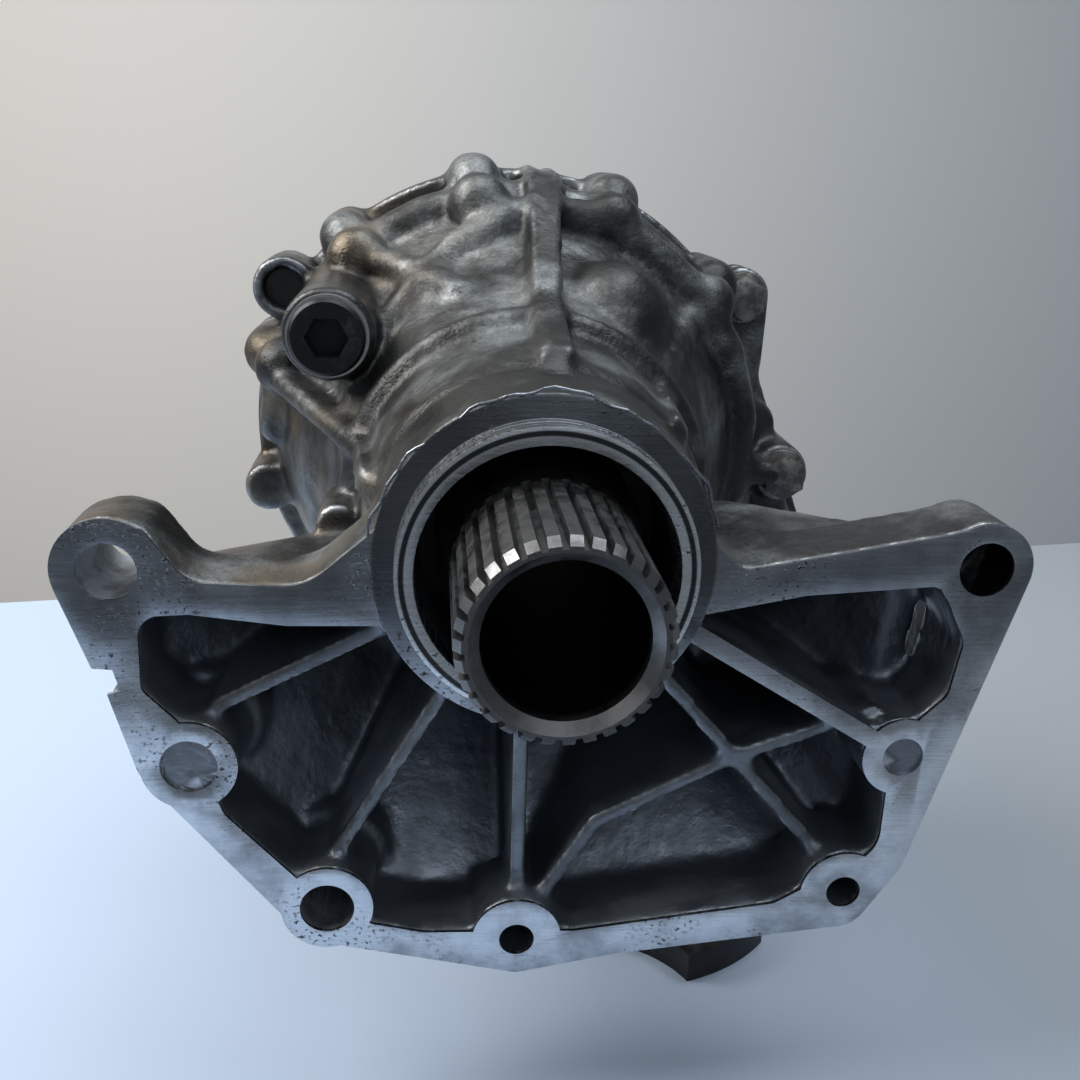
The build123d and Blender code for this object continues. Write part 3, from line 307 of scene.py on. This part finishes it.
def bar(start, end, width, near, far):
    """Upright web between two places given as x and z, from depth near to depth far, in millimetres."""
    along = Vector(end) - Vector(start)
    middle = (Vector(start) + Vector(end)) / 2
    bpy.ops.object.select_all(action="DESELECT")
    bpy.ops.mesh.primitive_cube_add(size=1, location=at(middle.x, (near + far) / 2, middle.y),
                                    rotation=(0, -atan2(along.y, along.x), 0),
                                    scale=at(along.length, far - near, width))
    apply_place()
    return bpy.context.object


def ring(radius, section, depth):
    """Round ring about the shaft axis, sizes in millimetres."""
    bpy.ops.object.select_all(action="DESELECT")
    bpy.ops.mesh.primitive_torus_add(major_radius=radius * MM, minor_radius=section * MM, major_segments=96,
                                     minor_segments=16, location=at(0, depth, 0), rotation=(pi / 2, 0, 0))
    apply_place()
    return bpy.context.object


def carve(piece, cutters):
    """Takes cutters out of a piece."""
    cutter = join(cutters)
    modify(piece, "BOOLEAN", operation="DIFFERENCE", object=cutter, solver="FAST")
    bpy.data.objects.remove(cutter)


def outside_dome(point):
    """Whether a point in millimetres lies on the outer skin of the dome, clear of bores and skirt."""
    inner = CAVITY_R + (point.y - CAVITY_Y) * CAVITY_SLOPE
    inner = min(max(inner, CAVITY_LEAST_R), CAVITY_MOST_R)
    return (NECK_END_Y < point.y < FLANGE_FRONT_Y and point.z > DOME_BOTTOM_Z
            and hypot(point.x, point.z) > inner + DOME_WALL
            and (point.y > SKIRT_END_Y or point.z > SKIRT_TOP_Z))


def soften(piece, chosen, steps):
    """Smooths the chosen part of a piece further."""
    group = piece.vertex_groups.new(name="soft")
    group.add([vertex.index for vertex in piece.data.vertices if chosen(vertex.co / MM)], 1.0, "REPLACE")
    modify(piece, "SMOOTH", factor=0.5, iterations=steps, vertex_group="soft")
    piece.vertex_groups.clear()


def cast(piece, solids, pockets, holes, steps):
    """Fuses solids into a piece with a soft cast skin, with soft pockets and sharp holes."""
    sizes = settings("casting")
    join([piece] + solids)
    modify(piece, "REMESH", mode="VOXEL", voxel_size=sizes.voxel, use_smooth_shade=True)
    if pockets:
        carve(piece, pockets)
    modify(piece, "SMOOTH", factor=0.5, iterations=steps)
    soften(piece, outside_dome, sizes.blend)
    if holes:
        carve(piece, holes)
    corners = sum(len(face.vertices) - 2 for face in piece.data.polygons)
    if corners > sizes.triangles:
        modify(piece, "DECIMATE", ratio=sizes.triangles / corners)
    smooth(piece, 45)


def smooth(piece, angle=35):
    """Shades a piece smooth, with edges sharper than an angle kept."""
    alone(piece)
    bpy.ops.object.shade_smooth_by_angle(angle=radians(angle))


def dress(piece, body, slot, material, *nodes):
    """Gives a new piece its finish, its body and the nodes that it stands for."""
    piece.data.materials.clear()
    piece.data.materials.append(material)
    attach(piece, body)
    if nodes:
        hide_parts(*nodes)


def paint(nodes, material):
    """Gives CAD nodes a finish."""
    for node in nodes:
        piece = frame["nodes"][node]
        piece.data.materials.clear()
        piece.data.materials.append(material)


class Finish:
    """A procedural material on Object coordinates, with its nodes linked as they are made."""

    def __init__(self, name, metallic=1.0, roughness=0.4):
        self.material = bpy.data.materials.new(name)
        self.material.use_nodes = True
        self.tree = self.material.node_tree
        self.shader = self.tree.nodes["Principled BSDF"]
        self.shader.inputs["Metallic"].default_value = metallic
        self.shader.inputs["Roughness"].default_value = roughness
        self.place = self.tree.nodes.new("ShaderNodeTexCoord").outputs["Object"]

    def node(self, kind, result, inputs, **options):
        made = self.tree.nodes.new("ShaderNode" + kind)
        for key, value in options.items():
            setattr(made, key, value)
        for key, value in inputs.items():
            if isinstance(value, bpy.types.NodeSocket):
                self.tree.links.new(value, made.inputs[key])
            else:
                made.inputs[key].default_value = value
        return made.outputs[result]

    def stretched(self, scale):
        """Coordinates stretched along X, Y and Z."""
        return self.node("Mapping", "Vector", {"Vector": self.place, "Scale": scale})

    def noise(self, size, detail=4.0, roughness=0.55, place=None):
        """Noise whose largest lumps are about size metres across."""
        return self.node("TexNoise", "Fac", {"Vector": place or self.place, "Scale": 1 / size,
                                             "Detail": detail, "Roughness": roughness})

    def band(self, value, low, high, start=0.0, end=1.0):
        """Smooth step of a value from low to high, onto start to end."""
        return self.node("MapRange", "Result", {"Value": value, "From Min": low, "From Max": high,
                                                "To Min": start, "To Max": end},
                         interpolation_type="SMOOTHSTEP")

    def part(self, axis):
        """One Object coordinate."""
        return self.node("SeparateXYZ", axis, {"Vector": self.place})

    def maths(self, operation, first, second):
        return self.node("Math", "Value", {0: first, 1: second}, operation=operation)

    def mix(self, share, first, second):
        """Colour between two colours."""
        made = self.tree.nodes.new("ShaderNodeMix")
        made.data_type = "RGBA"
        for key, value in ((0, share), (6, first), (7, second)):
            if isinstance(value, bpy.types.NodeSocket):
                self.tree.links.new(value, made.inputs[key])
            elif key:
                made.inputs[key].default_value = (*value, 1.0)
            else:
                made.inputs[key].default_value = value
        return made.outputs[2]

    def pointiness(self):
        """Over 0.5 on outer edges of a dense mesh, under it in hollows."""
        return self.tree.nodes.new("ShaderNodeNewGeometry").outputs["Pointiness"]

    def reach(self):
        """Distance from the shaft axis."""
        across = self.node("VectorMath", "Vector", {0: self.place, 1: (1, 0, 1)}, operation="MULTIPLY")
        return self.node("VectorMath", "Value", {0: across}, operation="LENGTH")

    def product(self, first, second):
        return self.maths("MULTIPLY", first, second)

    def bump(self, height, depth, normal=None):
        inputs = {"Height": height, "Distance": depth, "Strength": 1.0}
        if normal:
            inputs["Normal"] = normal
        return self.node("Bump", "Normal", inputs)

    def finish(self, colour=None, roughness=None, normal=None):
        for key, value in (("Base Color", colour), ("Roughness", roughness), ("Normal", normal)):
            if value is not None:
                self.tree.links.new(value, self.shader.inputs[key])
        return self.material


def cast_skin(name="cast_skin"):
    """Sand-grained aluminium casting, dark with oil in its hollows, worn bright with a painted highlight on
    its outer edges, and with painted shade in the pockets behind the flange.
    """
    colours = settings("casting")
    made = Finish(name, metallic=0.85)
    grain = made.noise(0.9 * MM, detail=5.0, roughness=0.6)
    lumps = made.noise(7 * MM, detail=4.0)
    patches = made.noise(30 * MM, detail=7.0, roughness=0.62)
    point = made.pointiness()
    base = made.mix(made.band(patches, 0.44, 0.70), colours.grime, colours.skin)
    base = made.mix(made.band(grain, 0.60, 0.40, 0.0, 0.35), base, colours.grime)
    # Dried oil runs down the left of the dome and stands in the hollows
    left = made.band(made.part("X"), -15 * MM, -60 * MM)
    stain = made.product(left, made.band(made.noise(26 * MM, detail=6.0), 0.46, 0.62))
    stain = made.maths("MAXIMUM", stain, made.band(made.noise(60 * MM, detail=6.0), 0.60, 0.74, 0.0, 0.5))
    base = made.mix(made.product(stain, 0.75), base, colours.oil)
    # Outer edges are lightened as edge wear and as a painted highlight
    wear_and_highlight = made.product(made.band(point, 0.516, 0.57), made.band(lumps, 0.32, 0.58, 0.3, 0.9))
    base = made.mix(wear_and_highlight, base, colours.face)
    hollow = made.band(point, 0.492, 0.44)
    base = made.mix(made.product(hollow, 0.9), base, colours.grime)
    # The skirt's hollows are smooth and oily, and their colour is painted shade, kept off the crests
    pocket_oil_and_shade = made.product(made.band(made.part("Z"), -4 * MM, -14 * MM),
                        made.band(made.part("Y"), 66 * MM, 52 * MM))
    crest = made.maths("SUBTRACT", pocket_oil_and_shade, made.band(point, 0.505, 0.545, 0.0, 0.85))
    base = made.mix(made.band(crest, 0.0, 1.0, 0.0, 0.86), base, colours.pocket_shade)
    # Darker round the fill plug
    plug = made.node("VectorMath", "Value", {0: made.place, 1: at(*FILL_PLUG)}, operation="DISTANCE")
    base = made.mix(made.band(plug, 30 * MM, 15 * MM, 0.0, 0.8), base, colours.grime)
    rough = made.band(made.noise(16 * MM, detail=5.0), 0.35, 0.65, 0.32, 0.56)
    fine = made.bump(made.product(grain, made.band(pocket_oil_and_shade, 0.2, 0.8, 1.0, 0.15)), 0.15 * MM)
    return made.finish(base, rough, made.bump(lumps, 0.7 * MM, fine))


def milled_face(name="milled_face"):
    """Milled aluminium with stains, fine scratches and corrosion pits, with a painted dark reflection on its
    upper part and painted shade on the collar.
    """
    colours = settings("casting")
    made = Finish(name, metallic=1.0)
    stains = made.noise(20 * MM, detail=7.0, roughness=0.68)
    pits = made.noise(1.1 * MM, detail=3.0, roughness=0.6)
    where = made.band(made.noise(34 * MM, detail=3.0), 0.47, 0.60)
    scratches = made.noise(1.0, detail=5.0, roughness=0.7, place=made.stretched((60, 60, 1400)))
    base = made.mix(made.band(stains, 0.40, 0.66, 0.0, 0.7), colours.face, colours.stained)
    # Painted dark reflection: the milled face is darker towards its top, broken up by noise
    upper = made.band(made.part("Z"), -48 * MM, -4 * MM)
    film = made.product(upper, made.band(made.noise(45 * MM, detail=6.0), 0.30, 0.55, 0.45, 1.0))
    base = made.mix(made.product(film, 0.72), base, colours.dark_reflection)
    reach = made.reach()
    # Painted shade on the upper collar round the pilot, with a painted shadow at the pilot's root; a dark
    # line lies in the line of its front step
    collar = made.product(made.band(reach, *COLLAR_OUTER), made.band(reach, *COLLAR_INNER))
    base = made.mix(made.product(made.product(collar, upper), 0.8), base, colours.collar)
    pilot = made.band(reach, *PILOT_EDGE)
    base = made.mix(pilot, base, colours.pilot)
    step = made.product(made.band(reach, *PILOT_LINE_OUTER), made.band(reach, *PILOT_LINE_INNER))
    base = made.mix(step, base, colours.groove)
    pitted = made.product(made.band(pits, 0.56, 0.64), where)
    base = made.mix(pitted, base, colours.grime)
    rough = made.band(scratches, 0.3, 0.7, 0.20, 0.36)
    normal = made.bump(scratches, 0.03 * MM, made.bump(pitted, 0.08 * MM))
    return made.finish(base, rough, normal)


def turned_steel(name, colour, low, high, dirt=0.35):
    """Turned or ground steel under a film of oil and dust."""
    made = Finish(name)
    film = made.noise(6 * MM, detail=6.0, roughness=0.7)
    dust = made.noise(0.5 * MM, detail=3.0)
    base = made.mix(made.band(film, 0.45, 0.70, 0.0, dirt), colour, settings("steel").dark)
    base = made.mix(made.band(dust, 0.66, 0.74, 0.0, 0.35), base, settings("steel").bright)
    rough = made.band(film, 0.3, 0.7, low, high)
    # The bore is near black and rougher from just inside its mouth
    reach = made.reach()
    bore = made.product(made.band(reach, *SHAFT_BORE), made.band(made.part("Y"), *SHAFT_MOUTH))
    base = made.mix(bore, base, settings("steel").bore)
    return made.finish(base, made.maths("MAXIMUM", rough, made.product(bore, 0.7)),
                       made.bump(dust, 0.02 * MM))


def black_steel(name="blackened_steel"):
    """Blackened steel under a thin film of oil."""
    made = Finish(name, metallic=0.85)
    film = made.noise(7 * MM, detail=6.0, roughness=0.65)
    base = made.mix(made.band(film, 0.5, 0.75, 0.0, 0.35), settings("steel").dark, settings("steel").shaft)
    rough = made.band(film, 0.3, 0.7, 0.32, 0.5)
    return made.finish(base, rough, made.bump(film, 0.08 * MM))


def plated_bolt(name="plated_bolt"):
    """Zinc plating, weathered and with light rust."""
    made = Finish(name, metallic=0.9)
    film = made.noise(5 * MM, detail=6.0, roughness=0.7)
    colours = settings("steel")
    base = made.mix(made.band(film, 0.4, 0.6), colours.zinc, colours.dull_zinc)
    base = made.mix(made.band(made.noise(3 * MM), 0.58, 0.70, 0.0, 0.6), base, colours.rust)
    return made.finish(base, made.band(film, 0.3, 0.7, 0.36, 0.55), made.bump(film, 0.1 * MM))


def nitrile(name="nitrile_rubber"):
    """Black seal rubber with dust on it."""
    made = Finish(name, metallic=0.0)
    film = made.noise(3 * MM, detail=5.0)
    colours = settings("steel")
    base = made.mix(made.band(film, 0.4, 0.7), colours.rubber, colours.dusty_rubber)
    return made.finish(base, made.band(film, 0.3, 0.7, 0.38, 0.6), made.bump(film, 0.04 * MM))


def brass_fitting(name="brass_fitting"):
    """Weathered brass."""
    made = Finish(name)
    film = made.noise(4 * MM, detail=5.0)
    colours = settings("steel")
    base = made.mix(made.band(film, 0.4, 0.7), colours.brass, colours.dull_brass)
    return made.finish(base, made.band(film, 0.3, 0.7, 0.3, 0.5), made.bump(film, 0.05 * MM))


def flange_holes():
    """Place as x and z, radius and depth of each hole of the flange, from its mounts."""
    holes = []
    for name in ("lower_left_hole_upper", "lower_left_hole_lower", "bottom_threaded_hole",
                 "right_threaded_hole", "dowel_hole"):
        mount = MOUNTS[name]
        x, y, z = mount["pos_m"]
        radius = mount["dims"]["r_mm"] * MM
        length = mount["dims"]["length_mm"] * MM
        holes.append((x, z, radius, length))
    ears = MOUNTS["ear_holes"]
    half = ears["dims"]["spacing_x_mm"] * MM / 2
    for side in (-half, half):
        holes.append((ears["pos_m"][0] + side, ears["pos_m"][2], ears["dims"]["hole_r_mm"] * MM,
                      EAR_HOLE_DEPTH * MM))
    return holes


class MESH_OT_main_casting(bpy.types.Operator):
    """Cast skin and machined front of the main case"""
    bl_idname = "angle_drive.main_casting"
    bl_label = "Main Casting"

    def liners(self):
        """Walls of the flange holes, which stay after the holes are cut."""
        return [rod((x, FLANGE_SLICE, z), (x, length - LINER_END * MM, z), radius + LINER_WALL * MM)
                for x, z, radius, length in flange_holes()]

    def dome_forms(self):
        """Bosses round the joint flange, shoulder, ridge and double rib of the dome."""
        solids = []
        for angle in STUD_ANGLES:
            solids += [rod(on_dome(angle, STUD_RING_R, STUD_TIP_Y),
                           on_dome(angle, STUD_RING_R, FLANGE_FRONT_Y), STUD_R * MM),
                       ball(on_dome(angle, STUD_RING_R - 0.5, STUD_TIP_Y), STUD_R * MM),
                       ball(on_dome(angle, *STUD_ROOT), STUD_ROOT_R * MM)]
        solids += chain([on_dome(angle, *SHOULDER) for angle in SHOULDER_ANGLES], SHOULDER_R * MM)
        solids += chain([on_dome(*point) for point in DOME_RIDGE], DOME_RIDGE_R * MM)
        for angle in TOP_RIB_ANGLES:
            solids += chain([on_dome(angle, *point) for point in TOP_RIB], TOP_RIB_R * MM)
        return solids

    def left_forms(self):
        """Cored boss, webs, lug of the neck, lump and step of the neck."""
        x, z = CORED_BOSS
        solids = [rod(at(x, CORED_BOSS_FRONT_Y, z), at(x, FLANGE_FRONT_Y + 2, z), CORED_BOSS_R * MM)]
        solids += chain([at(*point) for point in PLUG_WEB], PLUG_WEB_R * MM)
        for sunk in LEFT_WEB_STEPS:
            solids += chain([at(x + sunk, depth, z - sunk / 4) for x, depth, z in LEFT_WEB], LEFT_WEB_R * MM)
        return solids + [rod(at(*NECK_LUG[0]), at(*NECK_LUG[1]), NECK_LUG_R * MM),
                         ball(at(*LUMP), LUMP_R * MM), ring(*NECK_STEP)]

    def flank_forms(self):
        """Corner of the joint flange over the pinion with its bosses and webs, and the skirt's wall."""
        back = JOINT_Y - JOINT_GAP
        solids = [bar(*ends, FLANK_WIDTH, FLANGE_FRONT_Y, back) for ends in zip(FLANK, FLANK[1:])]
        solids += [rod(at(x, FLANGE_FRONT_Y, z), at(x, back, z), FLANK_BOSS_R * MM) for x, z in FLANK]
        solids += [rod(at(x, y + 0.4, z), at(x, FLANGE_FRONT_Y + 1, z), (FLANK_BOSS_R - 0.1) * MM)
                   for x, z, y in FRONT_BOLTS[1:]]
        solids += [bar(*web, JOINT_Y - 2) for web in FLANK_WEBS]
        return solids + [bar(*EAR_WALL)]

    def execute(self, context):
        sizes = settings("casting")
        front = copy_of("main_case", "case_front")
        modify(front, "BEVEL", width=sizes.burr, segments=2, limit_method="ANGLE", angle_limit=radians(50))
        cut(front, (0, FLANGE_SLICE, 0), (0, 1, 0), keep_far=False)
        smooth(front, 30)
        milled = milled_face()
        dress(front, "root", "cast_aluminium", milled, "main_case")

        # Flash left along the upper edge of the collar
        edge = []
        for angle in FLASH_ANGLES:
            turn = radians(angle)
            radius = COLLAR_R + 0.6 * sin(5 * turn) + 0.45 * sin(13 * turn + 1) + 0.3 * sin(29 * turn)
            edge.append(on_dome(angle, radius, FLASH_DEPTH))
        flash = join(chain(edge, FLASH_R * MM))
        flash.name = "collar_flash"
        smooth(flash)
        dress(flash, "root", "cast_aluminium", milled)

        casting = copy_of("main_case", "case_casting")
        cut(casting, (0, FLANGE_SLICE, 0), (0, 1, 0), keep_far=True)
        solids = self.liners() + self.dome_forms() + self.left_forms() + self.flank_forms()
        x, z = CORED_BOSS
        cored = [at(x, depth, z) for depth in CORED_HOLE_DEPTHS]
        pockets = [rod(*cored, CORED_HOLE_R * MM), ring(*NECK_GROOVE)]
        holes = [rod((x, -2 * MM, z), (x, length + 0.4 * MM, z), radius)
                 for x, z, radius, length in flange_holes()]
        cast(casting, solids, pockets, holes, sizes.smoothing)
        dress(casting, "root", "cast_aluminium", cast_skin(), "main_case")
        return {"FINISHED"}


class MESH_OT_cover(bpy.types.Operator):
    """Rear cover, its bolts and breather"""
    bl_idname = "angle_drive.cover"
    bl_label = "Rear Cover"

    def execute(self, context):
        cover = copy_of("rear_cover", "cover_casting")
        near, far = JOINT_Y + JOINT_GAP, JOINT_Y + COVER_FLANK_DEPTH
        solids = [bar(*ends, FLANK_WIDTH, near, far) for ends in zip(FLANK, FLANK[1:])]
        solids += [rod(at(x, near, z), at(x, far, z), FLANK_BOSS_R * MM) for x, z in FLANK]
        cast(cover, solids, [], [], 3)
        dress(cover, "root", "cast_aluminium", cast_skin("cover_skin"), "rear_cover")
        plated = plated_bolt()
        paint(["cover_bolts", "ring_gear_bolts"], plated)
        heads = []
        for x, z, seat in FRONT_BOLTS:
            for (front, back, radius), sides in ((BOLT_HEAD, 6), (BOLT_WASHER, 48)):
                heads.append(rod(at(x, seat - front, z), at(x, seat - back, z), radius * MM, sides))
        bolts = join(heads)
        bolts.name = "front_bolt_heads"
        modify(bolts, "BEVEL", width=0.4 * MM, segments=2, limit_method="ANGLE", angle_limit=radians(40))
        smooth(bolts, 30)
        dress(bolts, "root", "zinc_plated_steel", plated)
        paint(["breather"], brass_fitting())
        return {"FINISHED"}


class MESH_OT_shafts(bpy.types.Operator):
    """Input shaft, gears and bearings"""
    bl_idname = "angle_drive.shafts"
    bl_label = "Shafts and Bearings"

    def execute(self, context):
        steels = settings("steel")
        paint(["input_shaft"], turned_steel("shaft_steel", steels.shaft, 0.26, 0.5))
        paint(["ring_gear", "drive_pinion"], turned_steel("gear_steel", steels.shaft, 0.25, 0.45))
        ground = turned_steel("ground_steel", steels.bright, 0.15, 0.3, dirt=0.15)
        sets = ("front_bearing", "rear_bearing", "pinion_head_bearing", "pinion_tail_bearing")
        paint([name + part for name in sets for part in ("_cup", "_cone", "_rollers")], ground)
        pressed = turned_steel("pressed_steel", steels.bright, 0.3, 0.5)
        paint([name + "_cage" for name in sets] + ["dust_shield"], pressed)
        paint(["cover_dowels", "front_shim", "rear_shim", "pinion_shim", "crush_sleeve", "pinion_washer",
               "pinion_nut", "drain_magnet", "fill_plug_washer", "drain_plug_washer"],
              turned_steel("plain_steel", steels.bright, 0.3, 0.5))
        return {"FINISHED"}


class MESH_OT_seals_and_plugs(bpy.types.Operator):
    """Seals, plugs and the companion flange"""
    bl_idname = "angle_drive.seals_and_plugs"
    bl_label = "Seals, Plugs and Flange"

    def execute(self, context):
        paint(["pilot_o_ring", "input_seal", "rear_seal", "pinion_seal"], nitrile())
        paint(["fill_plug", "drain_plug", "companion_flange"], black_steel())
        return {"FINISHED"}


class SCENE_OT_stage(bpy.types.Operator):
    """Table, wall, lamps and camera"""
    bl_idname = "angle_drive.stage"
    bl_label = "Stage"

    def execute(self, context):
        stage = settings("stage")
        bpy.ops.object.select_all(action="DESELECT")
        bpy.ops.mesh.primitive_plane_add(size=4.0, location=(0, 1.80, TABLE_Z))
        table = bpy.context.object
        table.name = "table"
        apply_place()
        # The table ends along the line that the photograph shows, well before the wall
        left, right = (Vector((*place, TABLE_Z)) for place in TABLE_EDGE)
        cut(table, left, (right - left).cross(Vector((0, 0, -1))).normalized(), keep_far=False)
        made = Finish("table_top", metallic=0.0, roughness=0.55)
        away = made.band(made.part("X"), -0.02, 0.24)
        table.data.materials.append(made.finish(made.mix(away, stage.table, stage.table_shade)))
        bpy.ops.object.select_all(action="DESELECT")
        bpy.ops.mesh.primitive_plane_add(size=7.0, location=(0, stage.wall_depth, TABLE_Z),
                                         rotation=(pi / 2, 0, 0))
        wall = bpy.context.object
        wall.name = "wall"
        apply_place()
        made = Finish("painted_wall", metallic=0.0, roughness=0.9)
        away = made.band(made.part("X"), -0.95, 1.35)
        wall.data.materials.append(made.finish(made.mix(away, stage.wall, stage.shade)))

        camera = bpy.data.objects.new("camera", bpy.data.cameras.new("camera"))
        bpy.context.scene.collection.objects.link(camera)
        forward = Vector(CAMERA_FORWARD).normalized()
        across = forward.cross(Vector(CAMERA_UP)).normalized()
        up = across.cross(forward)
        rows = zip(across, up, -forward, CAMERA_PLACE)
        camera.matrix_world = Matrix((*rows, (0, 0, 0, 1)))
        camera.data.lens = stage.lens
        camera.data.sensor_width = 36.0
        camera.data.clip_start = 0.01
        bpy.context.scene.camera = camera

        for name, place, aim, size, watts, tint in LAMPS:
            lamp = bpy.data.objects.new(name, bpy.data.lights.new(name, "AREA"))
            lamp.data.shape = "SQUARE"
            lamp.data.size = size
            lamp.data.energy = watts
            lamp.data.color = tint
            lamp.location = place
            lamp.rotation_euler = (Vector(aim) - Vector(place)).to_track_quat("-Z", "Y").to_euler()
            bpy.context.scene.collection.objects.link(lamp)

        world = bpy.data.worlds.new("room_light")
        world.use_nodes = True
        background = world.node_tree.nodes["Background"]
        background.inputs["Color"].default_value = ROOM_COLOUR
        background.inputs["Strength"].default_value = ROOM_STRENGTH
        bpy.context.scene.world = world
        bpy.context.scene.view_settings.view_transform = "Standard"
        return {"FINISHED"}


class VIEW3D_PT_angle_drive(bpy.types.Panel):
    """Sizes, colours and steps of the angle drive"""
    bl_label = "Angle Drive"
    bl_idname = "VIEW3D_PT_angle_drive"
    bl_space_type = "VIEW_3D"
    bl_region_type = "UI"
    bl_category = "Angle Drive"

    def draw(self, context):
        for step in STEPS:
            self.layout.operator(step.bl_idname)
        for name in ("casting", "steel", "stage"):
            group = settings(name)
            box = self.layout.box()
            for key in group.bl_rna.properties.keys():
                if key not in {"rna_type", "name"}:
                    box.prop(group, key)


STEPS = (MESH_OT_main_casting, MESH_OT_cover, MESH_OT_shafts, MESH_OT_seals_and_plugs, SCENE_OT_stage)
GROUPS = {"casting": CastingSettings, "steel": SteelSettings, "stage": StageSettings}


def register():
    for name, group in GROUPS.items():
        bpy.utils.register_class(group)
        setattr(bpy.types.Scene, "angle_drive_" + name, bpy.props.PointerProperty(type=group))
    for made in (*STEPS, VIEW3D_PT_angle_drive):
        bpy.utils.register_class(made)


def unregister():
    for made in (VIEW3D_PT_angle_drive, *reversed(STEPS)):
        bpy.utils.unregister_class(made)
    for name, group in GROUPS.items():
        delattr(bpy.types.Scene, "angle_drive_" + name)
        bpy.utils.unregister_class(group)


def main():
    register()
    for step in STEPS:
        family, action = step.bl_idname.split(".")
        getattr(getattr(bpy.ops, family), action)()


if __name__ == "__main__":
    main()
